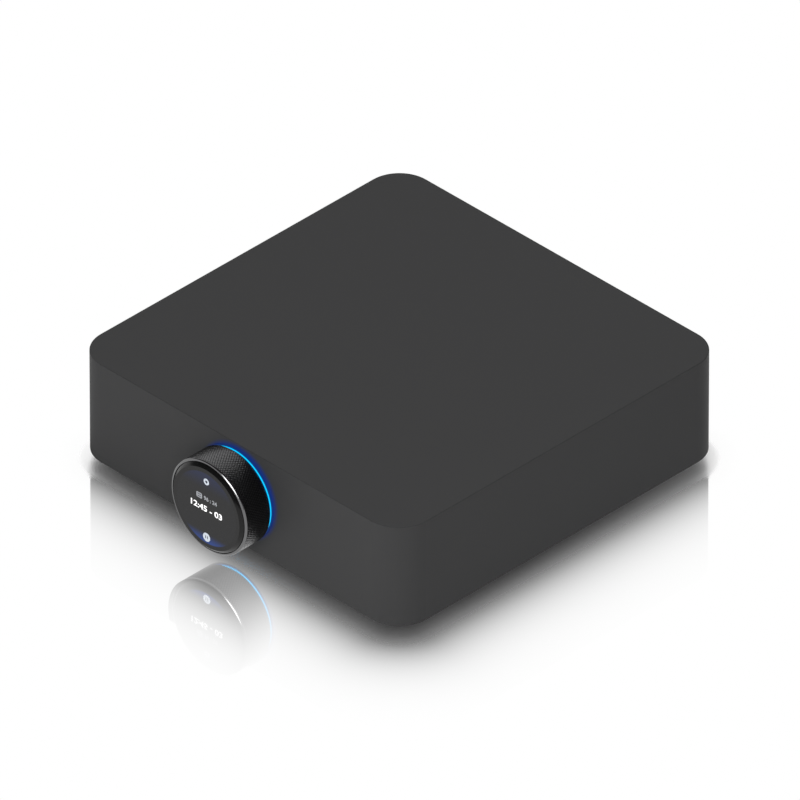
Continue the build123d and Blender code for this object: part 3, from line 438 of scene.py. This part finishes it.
scene_finish = {
    "display_glass": dict(
        colour=(0.002, 0.002, 0.0022), rough=0.03, ior=1.34, grain=3.0, depth=0, spread=0.01,
        glow=lens_glow, glow_strength=1.0,
    ),
    "glass_edge": dict(
        colour=(0.003, 0.003, 0.003), rough=0.2, ior=1.34, grain=0.5, depth=0, spread=0.03
    ),
    "polished_rim": dict(
        colour=(0.16, 0.16, 0.162), rough=0.1, metal=1.0, grain=0.3, depth=0.0005, spread=0.03
    ),
    "mark_white": lit_mark((1.0, 1.0, 1.0), 0.95),
    "mark_grey": lit_mark((0.3, 0.31, 0.33), 0.55),
    "mark_pale": lit_mark((0.62, 0.68, 0.76), 0.46),
    "mark_dark": dict(colour=(0.03, 0.035, 0.05), rough=0.4, grain=0.3, depth=0),
    "print_white": dict(
        colour=(0.62, 0.62, 0.6), rough=0.6, grain=0.2, depth=0.002, mottle=0.06
    ),
    "band_red": dict(colour=(0.45, 0.012, 0.012), rough=0.35, grain=0.4, depth=0.004),
    "band_black": dict(colour=(0.01, 0.01, 0.01), rough=0.35, grain=0.4, depth=0.004),
}
all_finishes = {**slot_finish, **scene_finish}
materials = {name: finish(name, **values) for name, values in all_finishes.items()}

for row in frame["record"]["subparts"]:
    mesh = nodes[row["node"]].data
    mesh.materials.clear()
    mesh.materials.append(materials[row["material_slot"]])


# Making pieces

# Turns a form spun round Y so that it stands on its axis along Z
UPRIGHT = Matrix(((1, 0, 0, 0), (0, 0, 1, 0), (0, 1, 0, 0), (0, 0, 0, 1)))


def piece(name, bm, body, slot, *surfaces, smooth=35.0, replaces=()):
    """Turns a bmesh into a piece that rides on a body; edges sharper than smooth stay sharp."""
    bmesh.ops.recalc_face_normals(bm, faces=bm.faces)
    for face in bm.faces:
        face.smooth = True
    for edge in bm.edges:
        if len(edge.link_faces) == 2:
            edge.smooth = edge.calc_face_angle(0.0) < math.radians(smooth)
    mesh = bpy.data.meshes.new(name)
    bm.to_mesh(mesh)
    bm.free()
    obj = bpy.data.objects.new(name, mesh)
    bpy.context.scene.collection.objects.link(obj)
    for surface in surfaces:
        mesh.materials.append(materials[surface])
    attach(obj, body)
    if replaces:
        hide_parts(*replaces)
    return obj


def spin(bm, x, z, rings, count, closed=True, surface=0):
    """Faces between rings round a line along Y; a ring is (radius or a list of radii, y).

    Each four-cornered face is cut along its flatter diagonal where the radii vary."""

    def radius_of(vertex):
        return math.hypot(vertex.co.x - x, vertex.co.z - z)

    loops = []
    for radius, y in rings:
        radii = radius if isinstance(radius, list) else [radius] * count
        if max(radii) == 0:
            loops.append([bm.verts.new((x, y, z))] * count)
            continue
        turns = [2 * math.pi * k / count for k in range(count)]
        loops.append([
            bm.verts.new((x + r * math.cos(turn), y, z + r * math.sin(turn)))
            for r, turn in zip(radii, turns)
        ])
    pairs = list(zip(range(len(loops) - 1), range(1, len(loops))))
    if closed:
        pairs.append((len(loops) - 1, 0))
    for first, second in pairs:
        wavy = isinstance(rings[first][0], list) or isinstance(rings[second][0], list)
        mark = surface(first) if callable(surface) else surface
        for k in range(count):
            a, b = loops[first][k], loops[first][(k + 1) % count]
            d, c = loops[second][k], loops[second][(k + 1) % count]
            if a is b:
                corners = [(a, c, d)]
            elif c is d:
                corners = [(a, b, c)]
            elif not wavy:
                corners = [(a, b, c, d)]
            elif abs(radius_of(a) - radius_of(c)) <= abs(radius_of(b) - radius_of(d)):
                corners = [(a, b, c), (a, c, d)]
            else:
                corners = [(a, b, d), (b, c, d)]
            for corner in corners:
                bm.faces.new(corner).material_index = mark


def bars(bm, boxes, edge):
    """Small bars with their edges broken; each is (low corner, high corner)."""
    for low, high in boxes:
        made = bmesh.ops.create_cube(bm, size=1.0)["verts"]
        size = Vector(high) - Vector(low)
        for v in made:
            v.co = Vector(low) + Vector([(c + 0.5) * s for c, s in zip(v.co, size)])
        edges = list({e for v in made for e in v.link_edges})
        bmesh.ops.bevel(
            bm, geom=edges, offset=edge, segments=2, affect="EDGES", profile=0.5,
            clamp_overlap=True,
        )


def round_slab(bm, x, z, width, height, corner, y_near, y_far, steps=8):
    """A flat slab with round corners that faces along Y."""
    outline = []
    for k in range(4):
        sx = 1 if k in (0, 3) else -1
        sz = 1 if k in (0, 1) else -1
        for n in range(steps + 1):
            turn = math.pi / 2 * (k + n / steps)
            outline.append((
                x + sx * (width / 2 - corner) + corner * math.cos(turn),
                z + sz * (height / 2 - corner) + corner * math.sin(turn),
            ))
    near = [bm.verts.new((px, y_near, pz)) for px, pz in outline]
    far = [bm.verts.new((px, y_far, pz)) for px, pz in outline]
    bm.faces.new(near)
    bm.faces.new(far)
    for k in range(len(outline)):
        n = (k + 1) % len(outline)
        bm.faces.new((near[k], near[n], far[n], far[k]))


def lettering(bm, text, x, z, size, y, facing, weight, width=None):
    """Plain figures in a plane across Y, fitted to a width if one is given.

    Facing is -1 for the front and 1 for the back, and weight thickens the strokes."""
    curve = bpy.data.curves.new("figures", "FONT")
    curve.body = text
    curve.size = size
    curve.offset = weight
    curve.extrude = 0.01 * MM
    curve.align_x = "CENTER"
    curve.resolution_u = 4
    holder = bpy.data.objects.new("figures", curve)
    bpy.context.scene.collection.objects.link(holder)
    bpy.context.view_layer.update()
    mesh = bpy.data.meshes.new_from_object(holder)
    low = Vector([min(v.co[k] for v in mesh.vertices) for k in range(3)])
    high = Vector([max(v.co[k] for v in mesh.vertices) for k in range(3)])
    scale = width / (high.x - low.x) if width else 1.0
    centre = (low + high) / 2
    for v in mesh.vertices:
        across, up, out = v.co - centre
        v.co = (x - facing * across * scale, y + facing * out, z + up)
    bm.from_mesh(mesh)
    bpy.data.objects.remove(holder)
    bpy.data.curves.remove(curve)
    bpy.data.meshes.remove(mesh)
    bmesh.ops.remove_doubles(bm, verts=bm.verts, dist=1e-7)


# Dial: knurled grip with a polished rim

diamond_steps = 4  # steps of the mesh across one diamond
columns = diamonds_round * diamond_steps
row_count = diamonds_along * diamond_steps
groove = 0.12 * MM


def knurl(column, row):
    """Height of a knurl with blunted diamonds, from 0 in its grooves to 1."""
    one = (column + row) % diamond_steps
    other = (column - row) % diamond_steps
    return (0.0, 0.78, 1.0)[min(one, diamond_steps - one, other, diamond_steps - other)]


# Sections, each as (millimetres inside the grip's radius, millimetres in front of the wall)
rear_edge = [(0.25, 2.3), (0.15, 2.4), (0.15, 2.75)]
rim = [
    (0.15, 17.15), (0.03, 17.2), (0.0, 17.27), (0.05, 17.45), (0.15, 17.6), (0.28, 17.7),
    (0.5, 17.81), (0.8, 17.94), (1.07, 18.02), (1.25, 17.97), (1.25, 12.2),
]
seat = 22.0 * MM  # radius that sits on the bearing
glass_lip = 21.2 * MM
clip_groove = 22.76 * MM

rings = [(seat, at(2.3))]
rings += [(grip - inside * MM, at(depth)) for inside, depth in rear_edge]
for row in range(row_count + 1):
    y = knurl_rear + (knurl_front - knurl_rear) * row / row_count
    rings.append(([grip - groove * (1 - knurl(c, row)) for c in range(columns)], y))
rim_start = len(rings)
rings += [(grip - inside * MM, at(depth)) for inside, depth in rim]
rim_end = len(rings)
rings += [
    (glass_lip, at(12.2)),
    (glass_lip, at(11.0)),
    (seat, at(11.0)),
    (seat, at(6.0)),
    (clip_groove, at(6.0)),
    (clip_groove, at(4.88)),
    (seat, at(4.88)),
]
bm = bmesh.new()
spin(bm, dial_x, dial_z, rings, columns, surface=lambda k: int(rim_start <= k < rim_end))
piece("dial_grip", bm, "dial", "black_aluminium", "black_aluminium", "polished_rim",
      smooth=16.0, replaces=["dial_ring"])

# Cover glass with its rounded edge, a hair thinner than the solid so that the marks lie inside it

glass_low, glass_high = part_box("display_glass")
glass_radius = glass_high.z - dial_z
face_y = glass_low.y + 0.03 * MM
flat_radius = glass_radius - 1.6 * MM
flat_rings = 6
profile = [(flat_radius * k / flat_rings, face_y) for k in range(flat_rings + 1)]
for inside, drop in ((0.9, 0.51), (0.4, 0.94), (0.1, 1.28), (0.0, 1.4)):
    profile.append((glass_radius - inside * MM, face_y + drop * MM))
profile += [(glass_radius, glass_high.y), (0.0, glass_high.y)]
bm = bmesh.new()
spin(bm, dial_x, dial_z, profile, 192, closed=False, surface=lambda k: int(k >= flat_rings))
piece("display_lens", bm, "root", "display_glass", "display_glass", "glass_edge", smooth=25.0,
      replaces=["display_glass"])

# Ring of light: a lit step between its base on the wall and its front face

guide_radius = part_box("light_ring")[1].z - dial_z
guide_section = [
    (0.0, 0.0), (0.0, 0.1), (0.6, 0.15), (0.6, 1.6), (0.9, 1.9), (1.6, 1.9), (1.6, 0.0)
]
bm = bmesh.new()
rings = [(guide_radius - inside * MM, at(depth)) for inside, depth in guide_section]
spin(bm, dial_x, dial_z, rings, 192)
piece("light_guide_ring", bm, "root", "light_guide", "light_guide", replaces=["light_ring"])

# Marks that the display shows: plain figures and plain signs, each in the glass and a hair proud

letter_y = face_y - 0.01 * MM
sign_near = face_y - 0.02 * MM
bar_near = sign_near - 0.008 * MM
sign_far = face_y + 0.1 * MM
main_z = dial_z - 0.45 * MM
small_z = main_z + 5.9 * MM
box_x = dial_x - 4.75 * MM
top_sign_z = main_z + 15.6 * MM
foot_sign_z = main_z - 15.9 * MM
bar_gap = 0.62 * MM  # from a sign's middle to each of its two bars

bm = bmesh.new()
lettering(bm, "12:45 - 03", dial_x, main_z, 4.4 * MM, letter_y, -1, 0.09 * MM, 20.5 * MM)
piece("display_figures", bm, "root", "display_cell", "mark_white")

bm = bmesh.new()
lettering(bm, "96 : 24", dial_x + 2.6 * MM, small_z, 3.0 * MM, letter_y, -1, 0.1 * MM, 8.6 * MM)
round_slab(bm, box_x, small_z, 3.7 * MM, 3.0 * MM, 0.6 * MM, sign_near, sign_far)
piece("display_small_figures", bm, "root", "display_cell", "mark_grey")

bm = bmesh.new()
for side in (-bar_gap, bar_gap):
    round_slab(bm, box_x, small_z + side, 2.5 * MM, 0.5 * MM, 0.2 * MM, bar_near, sign_far)
for side in (-bar_gap, bar_gap):
    round_slab(bm, dial_x + side, foot_sign_z, 0.5 * MM, 1.7 * MM, 0.2 * MM, bar_near, sign_far)
piece("display_sign_bars", bm, "root", "display_cell", "mark_dark")

bm = bmesh.new()
outer, inner, disc = 1.75 * MM, 0.75 * MM, 2.35 * MM
rings = [(outer, sign_near), (inner, sign_near), (inner, sign_far), (outer, sign_far)]
spin(bm, dial_x, top_sign_z, rings, 48)
rings = [(0.0, sign_near), (disc, sign_near), (disc, sign_far), (0.0, sign_far)]
spin(bm, dial_x, foot_sign_z, rings, 64, closed=False)
piece("display_signs", bm, "root", "display_cell", "mark_pale")

# Rubber pad with shallow rings

pad_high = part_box("foot_pad")[1]
pad_radius = pad_high.x
pad_groove = 0.5 * MM
pad_pitch = 6 * MM
steps = [(0.0, 0.0)]
place = 18 * MM
while place < pad_radius - pad_pitch:
    steps += [(place, 0.0), (place + 0.3 * MM, pad_groove)]
    steps += [(place + 1.5 * MM, pad_groove), (place + 1.8 * MM, 0.0)]
    place += pad_pitch
steps += [(pad_radius - pad_groove, 0.0), (pad_radius, pad_groove), (pad_radius, pad_high.z)]
steps += [(0.0, pad_high.z)]
bm = bmesh.new()
spin(bm, 0.0, 0.0, steps, 128, closed=False)
bm.transform(UPRIGHT)
piece("foot_pad_rings", bm, "root", "pad_rubber", "pad_rubber", replaces=["foot_pad"])

# Sunk screws with a six-sided socket


def sunk_screw(bm, face, direction, head, shank, length, socket):
    """One screw whose head's face is at a point; direction is where its shank points.

    Head and shank are radii, and socket is the radius to the socket's corners."""
    count = 48
    hexagon = []
    for k in range(count):
        turn = math.radians(360 * k / count % 60 - 30)
        hexagon.append(socket * math.cos(math.radians(30)) / math.cos(turn))
    deep = 1.1 * MM
    rim_height = 0.2 * MM
    broken = 0.08 * MM
    made = bmesh.new()
    spin(made, 0, 0, [
        (0.0, deep + 0.2 * MM),
        ([r * 0.98 for r in hexagon], deep),
        (hexagon, broken),
        ([r + broken for r in hexagon], 0.0),
        (head - 0.1 * MM, 0.0),
        (head, 0.1 * MM),
        (head, rim_height),
        (shank, rim_height + head - shank),
        (shank, length - 0.4 * MM),
        (shank * 0.6, length),
        (0.0, length),
    ], count, closed=False)
    turn = Vector((0, 1, 0)).rotation_difference(Vector(direction)).to_matrix().to_4x4()
    made.transform(Matrix.Translation(face) @ turn)
    mesh = bpy.data.meshes.new("screw")
    made.to_mesh(mesh)
    made.free()
    bm.from_mesh(mesh)
    bpy.data.meshes.remove(mesh)


def islands(name):
    """Boxes of a node's separate bits, as (low corner, high corner)."""
    bm = bmesh.new()
    bm.from_mesh(nodes[name].data)
    bmesh.ops.remove_doubles(bm, verts=bm.verts, dist=1e-6)
    left = set(bm.verts)
    found = []
    while left:
        heap = [left.pop()]
        group = []
        while heap:
            v = heap.pop()
            group.append(v.co.copy())
            for e in v.link_edges:
                w = e.other_vert(v)
                if w in left:
                    left.remove(w)
                    heap.append(w)
        low = Vector([min(p[k] for p in group) for k in range(3)])
        high = Vector([max(p[k] for p in group) for k in range(3)])
        found.append((low, high))
    bm.free()
    return sorted(found, key=lambda b: tuple(b[0]))


bm = bmesh.new()
plate_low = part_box("bottom_plate")[0].z
for low, high in islands("case_screws"):
    centre = (low + high) / 2
    length = high.z - low.z
    from_below = abs(low.z - plate_low) < 0.5 * MM and length > 7 * MM
    face_z, direction = (low.z, 1) if from_below else (high.z, -1)
    sunk_screw(bm, Vector((centre.x, centre.y, face_z)), (0, 0, direction), head=2.9 * MM,
               shank=1.5 * MM, length=length, socket=1.45 * MM)
piece("case_screw_set", bm, "root", "black_screws", "black_screws", replaces=["case_screws"])

bm = bmesh.new()
for low, high in islands("rear_panel_screws"):
    centre = (low + high) / 2
    sunk_screw(bm, Vector((centre.x, high.y, centre.z)), (0, -1, 0), head=2.3 * MM,
               shank=1.25 * MM, length=high.y - low.y, socket=1.15 * MM)
piece("rear_screw_set", bm, "root", "black_screws", "black_screws",
      replaces=["rear_panel_screws"])

# Post caps: fluted grips with a coloured band

bore = 3.06 * MM
flute_depth = 0.35 * MM
flute_wave = (0.0, 0.25, 0.8, 1.0, 0.8, 0.25)
cap_points = 30 * len(flute_wave)
posts = [middle(f"post_cap_{number}") for number in range(1, 5)]
for number, centre in enumerate(posts, 1):
    name = f"post_cap_{number}"
    low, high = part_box(name)
    outer = high.x - centre.x
    shaft = outer - flute_depth
    flute = [outer - flute_depth * flute_wave[k % len(flute_wave)] for k in range(cap_points)]
    rings = [
        (bore + 0.3 * MM, low.y),
        (outer - 0.4 * MM, low.y),
        (outer, low.y + 0.4 * MM),
        (outer, low.y + 1.5 * MM),
        (shaft, low.y + 1.8 * MM),
        (flute, low.y + 2.1 * MM),
        (flute, high.y - 4.4 * MM),
        (shaft, high.y - 4.1 * MM),
        (outer, high.y - 3.8 * MM),
        (outer, high.y - 3.2 * MM),
        (outer - 0.3 * MM, high.y - 3.1 * MM),
        (outer - 0.3 * MM, high.y - 1.5 * MM),
        (outer, high.y - 1.4 * MM),
        (outer, high.y - 0.6 * MM),
        (outer - 0.18 * MM, high.y - 0.18 * MM),
        (outer - 0.6 * MM, high.y),
        (bore + 0.5 * MM, high.y),
        (bore, high.y - 0.5 * MM),
        (bore, low.y + 0.3 * MM),
    ]
    bm = bmesh.new()
    spin(bm, centre.x, centre.z, rings, cap_points)
    piece(f"post_grip_{number}", bm, f"cap_{number}", "post_metal", "post_metal", smooth=30.0,
          replaces=[name])
    bm = bmesh.new()
    spin(bm, centre.x, centre.z, [
        (outer - 0.32 * MM, high.y - 3.05 * MM),
        (outer - 0.06 * MM, high.y - 3.0 * MM),
        (outer - 0.06 * MM, high.y - 1.6 * MM),
        (outer - 0.32 * MM, high.y - 1.55 * MM),
    ], cap_points)
    band = "band_red" if number < 3 else "band_black"
    piece(f"post_band_{number}", bm, f"cap_{number}", "insert_plastic", band)

# Contacts inside the sockets


def contacts(count, pitch, mid_x, mid_z, face, inset, reach, half_width, half_height):
    """A row of contacts; they start inset from the socket's face and end at reach from it."""
    boxes = []
    for k in range(count):
        x = mid_x + (k - (count - 1) / 2) * pitch
        boxes.append(((x - half_width, face - reach, mid_z - half_height),
                      (x + half_width, face - inset, mid_z + half_height)))
    return boxes


bm = bmesh.new()
jack = middle("ethernet_jack")
jack_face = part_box("ethernet_jack")[1].y
bars(bm, contacts(8, 1.02 * MM, jack.x, jack.z + 2.8 * MM, jack_face, 2.5 * MM, 13.0 * MM,
                  0.2 * MM, 0.2 * MM), 0.08 * MM)
tongue = middle("hdmi_socket")
tongue_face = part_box("hdmi_socket")[1].y
for count, level in ((10, -0.6 * MM), (9, 0.6 * MM)):
    bars(bm, contacts(count, 1.0 * MM, tongue.x, tongue.z + level, tongue_face, 2.0 * MM,
                      9.5 * MM, 0.18 * MM, 0.06 * MM), 0.03 * MM)
piece("socket_contacts", bm, "root", "gold_plate", "gold_plate")

# Marks printed on the rear panel: plus and minus, and plain figures

panel_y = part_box("rear_panel")[1].y
letter_y = panel_y + 0.01 * MM
ink_near = panel_y + 0.02 * MM
ink_far = panel_y - 0.1 * MM
stroke, sign_size = 0.5 * MM, 2.2 * MM
mid_x = sum(p.x for p in posts) / 4
upper_z = posts[0].z
lower_z = posts[2].z
bm = bmesh.new()
for z in (upper_z, lower_z):
    round_slab(bm, mid_x, z, sign_size, stroke, 0.1 * MM, ink_near, ink_far)
round_slab(bm, mid_x, upper_z, stroke, sign_size, 0.1 * MM, ink_near + 0.002 * MM, ink_far)
for figure, post in zip("12", posts):
    lettering(bm, figure, post.x, upper_z + 9.6 * MM, 3.2 * MM, letter_y, 1, 0.04 * MM)
inserts = sorted(islands("rca_inserts"), key=lambda b: (round(b[0].x, 4), -b[0].z))
places = ((-7.4 * MM, 0.0), (-7.4 * MM, 0.0), (0.0, 7.6 * MM))
for figure, (low, high), (aside, above) in zip("123", inserts, places):
    centre = (low + high) / 2
    lettering(bm, figure, centre.x + aside, centre.z + above, 2.6 * MM, letter_y, 1, 0.03 * MM)
piece("panel_marks", bm, "root", "insert_plastic", "print_white")

# Floor: white, with a mirror-like gloss close to the case


def case_distance(s, x, y):
    """Distance on the floor from the case's outline, less than 0 under the case."""
    corner = 17.5 * MM
    inset = cad_high.x - corner
    past_x = s.sum("SUBTRACT", s.sum("ABSOLUTE", x), inset)
    past_y = s.sum("SUBTRACT", s.sum("ABSOLUTE", y), inset)
    within = s.sum("MINIMUM", s.sum("MAXIMUM", past_x, past_y), 0.0)
    beyond = s.hypot(s.sum("MAXIMUM", past_x, 0.0), s.sum("MAXIMUM", past_y, 0.0))
    return s.sum("SUBTRACT", s.sum("ADD", beyond, within), corner)


def dial_image(s, x, y):
    """Where a line that rises from the floor towards the back left meets the dial: 1 or 0, and
    how far behind the dial's front it gets. The dial's mirror image falls there.

    For each step back, the line goes one step left and rises by the value named rise."""
    rise = 0.983
    reach = front_y - cad_low.y
    depth = s.sum("SUBTRACT", cad_low.y, y)
    off_x = s.sum("SUBTRACT", s.sum("SUBTRACT", x, dial_x), depth)
    off_z = s.sum("SUBTRACT", s.sum("MULTIPLY", depth, rise), dial_z)
    off = s.sum("ADD", s.sum("POWER", off_x, 2.0), s.sum("POWER", off_z, 2.0))
    # The roots of size * part^2 - 2 * lean * part + gap, where the line meets the dial's side
    size = 1 + rise * rise
    lean = s.sum("SUBTRACT", off_x, s.sum("MULTIPLY", off_z, rise))
    gap = s.sum("SUBTRACT", off, grip * grip)
    root = s.sum("SUBTRACT", s.sum("POWER", lean, 2.0), s.sum("MULTIPLY", gap, size))
    step = s.sum("SUBTRACT", lean, s.sum("SQRT", s.sum("MAXIMUM", root, 0.0)))
    part = s.sum("MAXIMUM", s.sum("MULTIPLY", step, 1 / size), 0.0)
    hits = s.sum("MULTIPLY", s.sum("GREATER_THAN", root, 0.0), s.sum("LESS_THAN", part, reach))
    ahead = s.sum("GREATER_THAN", s.sum("MAXIMUM", lean, s.sum("MULTIPLY", gap, -1.0)), 0.0)
    return s.sum("MULTIPLY", hits, ahead), s.sum("ADD", depth, part)


def gloss_share(s, away):
    """How much of the floor's look is gloss: nearly all under the case, none 72 mm away."""
    nearest, farthest = -12 * MM, 72 * MM
    half_way, softness = 7.6 * MM, 6 * MM

    def power(distance):
        return (distance - half_way) / softness

    grown = s.sum(
        "EXPONENT", s.span(away, nearest, farthest, power(nearest), power(farthest))
    )
    share = s.sum("INVERSE_SQRT", s.sum("ADD", grown, 1.0))
    least = 1 / math.sqrt(1 + math.exp(power(farthest)))
    return s.span(share, least, 1.0, 0.0, 1.0)


def floor_material():
    """The camera sees light and gloss; diffuse rays see a plain white floor, and rays mirrored by
    the object see one with a painted shade close to the case, towards the left of the dial."""
    s = Nodes(bpy.data.materials.new("floor_white"))
    x, y, _ = s.axes()
    from_case = case_distance(s, x, y)
    # In the dial's image the distance counts from the dial instead, less and less so towards a
    # view from straight above, as gloss does
    in_image, from_front = dial_image(s, x, y)
    difference = s.sum("SUBTRACT", s.sum("SUBTRACT", from_front, 2 * MM), from_case)
    facing = s.add("ShaderNodeLayerWeight", Blend=0.5).outputs["Facing"]
    mirrored_dial = s.sum("MULTIPLY", in_image, s.span(facing, 0.1, 0.38, 0.0, 1.0))
    away = s.sum("MULTIPLY_ADD", difference, mirrored_dial, from_case)

    diffuse = s.add("ShaderNodeBsdfDiffuse", Color=(0.9, 0.9, 0.9, 1.0)).outputs[0]
    lit = s.add("ShaderNodeEmission", Color=WHITE, Strength=1.0).outputs[0]
    blur = s.span(away, 2.5 * MM, 8.5 * MM, 0.4, 0.04, True)
    gloss = s.add("ShaderNodeBsdfGlossy", Color=WHITE, Roughness=blur).outputs[0]
    unshaded = s.span(away, 0.0, 16 * MM, 0.72, 1.0, True)
    seen = s.blend(gloss_share(s, away), s.blend(unshaded, diffuse, lit), gloss)

    # Painted shade on the floor for the object's reflections: dark close to the case, towards the
    # left of the dial
    beside = s.span(from_case, 0.0, 30 * MM, 0.08, 1.0, True)
    right_of_dial = s.span(x, dial_x - 25 * MM, dial_x - 5 * MM, 0.0, 1.0)
    open_floor = s.sum("MAXIMUM", beside, right_of_dial)
    dimmed = s.add("ShaderNodeEmission", Color=WHITE, Strength=open_floor).outputs[0]
    rays = s.add("ShaderNodeLightPath").outputs
    mirrored = s.sum("MAXIMUM", rays["Is Glossy Ray"], rays["Is Transmission Ray"])
    unseen = s.blend(mirrored, diffuse, dimmed)
    return s.output(s.blend(rays["Is Camera Ray"], unseen, seen))


floor_radius = 3.0
floor_rings = 12
bm = bmesh.new()
rings = [(floor_radius * k / floor_rings, 0.0) for k in range(floor_rings + 1)]
spin(bm, 0, 0, rings, 96, closed=False)
bm.transform(UPRIGHT)
bmesh.ops.recalc_face_normals(bm, faces=bm.faces)
floor_mesh = bpy.data.meshes.new("floor")
bm.to_mesh(floor_mesh)
bm.free()
floor_mesh.materials.append(floor_material())
floor = bpy.data.objects.new("floor", floor_mesh)
floor.location.z = -0.1 * MM
bpy.context.scene.collection.objects.link(floor)
floor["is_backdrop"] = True

# World: white low down, in front only at the horizon, and in a card behind the case

scene = bpy.context.scene
world = Nodes(bpy.data.worlds.new("studio"), "Generated")
_, along, height = world.axes()
raised = world.sum("MULTIPLY", height, world.span(along, -0.5, -0.15, 1.0, 0.17))
dark = world.span(raised, 0.014, 0.06, 0.0, 1.0)
sky_colour = world.mix(dark, WHITE, (0.1, 0.1, 0.103, 1.0))
card_direction = Vector((-0.62, 0.6, 0.5)).normalized()
toward = world.add(
    "ShaderNodeVectorMath", {"operation": "DOT_PRODUCT"}, (world.place, card_direction)
).outputs["Value"]
card = world.span(toward, 0.7, 0.88, 0.0, 1.0, True)
with_card = world.mix(card, sky_colour, WHITE)
sky = world.add("ShaderNodeBackground", Color=with_card, Strength=1.0).outputs[0]
fill = world.add("ShaderNodeBackground", Color=WHITE, Strength=0.36).outputs[0]
rays = world.add("ShaderNodeLightPath").outputs
seen = world.sum("MAXIMUM", rays["Is Camera Ray"], rays["Is Glossy Ray"])
seen = world.sum("MAXIMUM", seen, rays["Is Transmission Ray"])
scene.world = world.output(world.blend(seen, fill, sky), "ShaderNodeOutputWorld")

# Lamps


def lamp(name, place, target, width, height, radiance):
    """A softbox; an area lamp's radiance is its power over four times its area."""
    data = bpy.data.lights.new(name, "AREA")
    data.shape = "RECTANGLE"
    data.size = width
    data.size_y = height
    data.energy = radiance * 4 * width * height
    obj = bpy.data.objects.new(name, data)
    obj.location = place
    aim = (Vector(target) - Vector(place)).normalized()
    obj.rotation_euler = aim.to_track_quat("-Z", "Y").to_euler()
    obj.visible_camera = False
    scene.collection.objects.link(obj)
    return obj


overhead = lamp("overhead", (-0.5, 0.8, 1.7), (0, 0, 0), width=1.6, height=1.3, radiance=1.7)
key = lamp("key", (0.8, -1.6, 0.9), (0, 0, 0.03), width=1.6, height=1.2, radiance=4.2)
for soft in (overhead, key):
    soft.visible_glossy = False
strip = lamp("strip", (-0.03, -0.42, 0.056), (dial_x, front_y - 0.02, dial_z), width=0.12,
             height=0.09, radiance=9.0)
strip.visible_diffuse = False

# Camera at the photograph's angle, far off with a long lens

azimuth = math.radians(45.03)
elevation = math.radians(35.04)
distance = 15.585
back = Vector((
    math.sin(azimuth) * math.cos(elevation),
    -math.cos(azimuth) * math.cos(elevation),
    math.sin(elevation),
))
right = Vector((math.cos(azimuth), math.sin(azimuth), 0.0))
up = back.cross(right)
aim = middle("top_shell") + right * 0.31 * MM - up * 0.96 * MM
camera_data = bpy.data.cameras.new("camera")
camera_data.sensor_width = 36.0
camera_data.lens = 1500.0
camera_data.clip_start = 1.0
camera_data.clip_end = 60.0
camera = bpy.data.objects.new("camera", camera_data)
turn = Matrix((right, up, back)).transposed().to_4x4()
camera.matrix_world = Matrix.Translation(aim + back * distance) @ turn
scene.collection.objects.link(camera)
scene.camera = camera

scene.view_settings.view_transform = "Standard"

low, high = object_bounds()
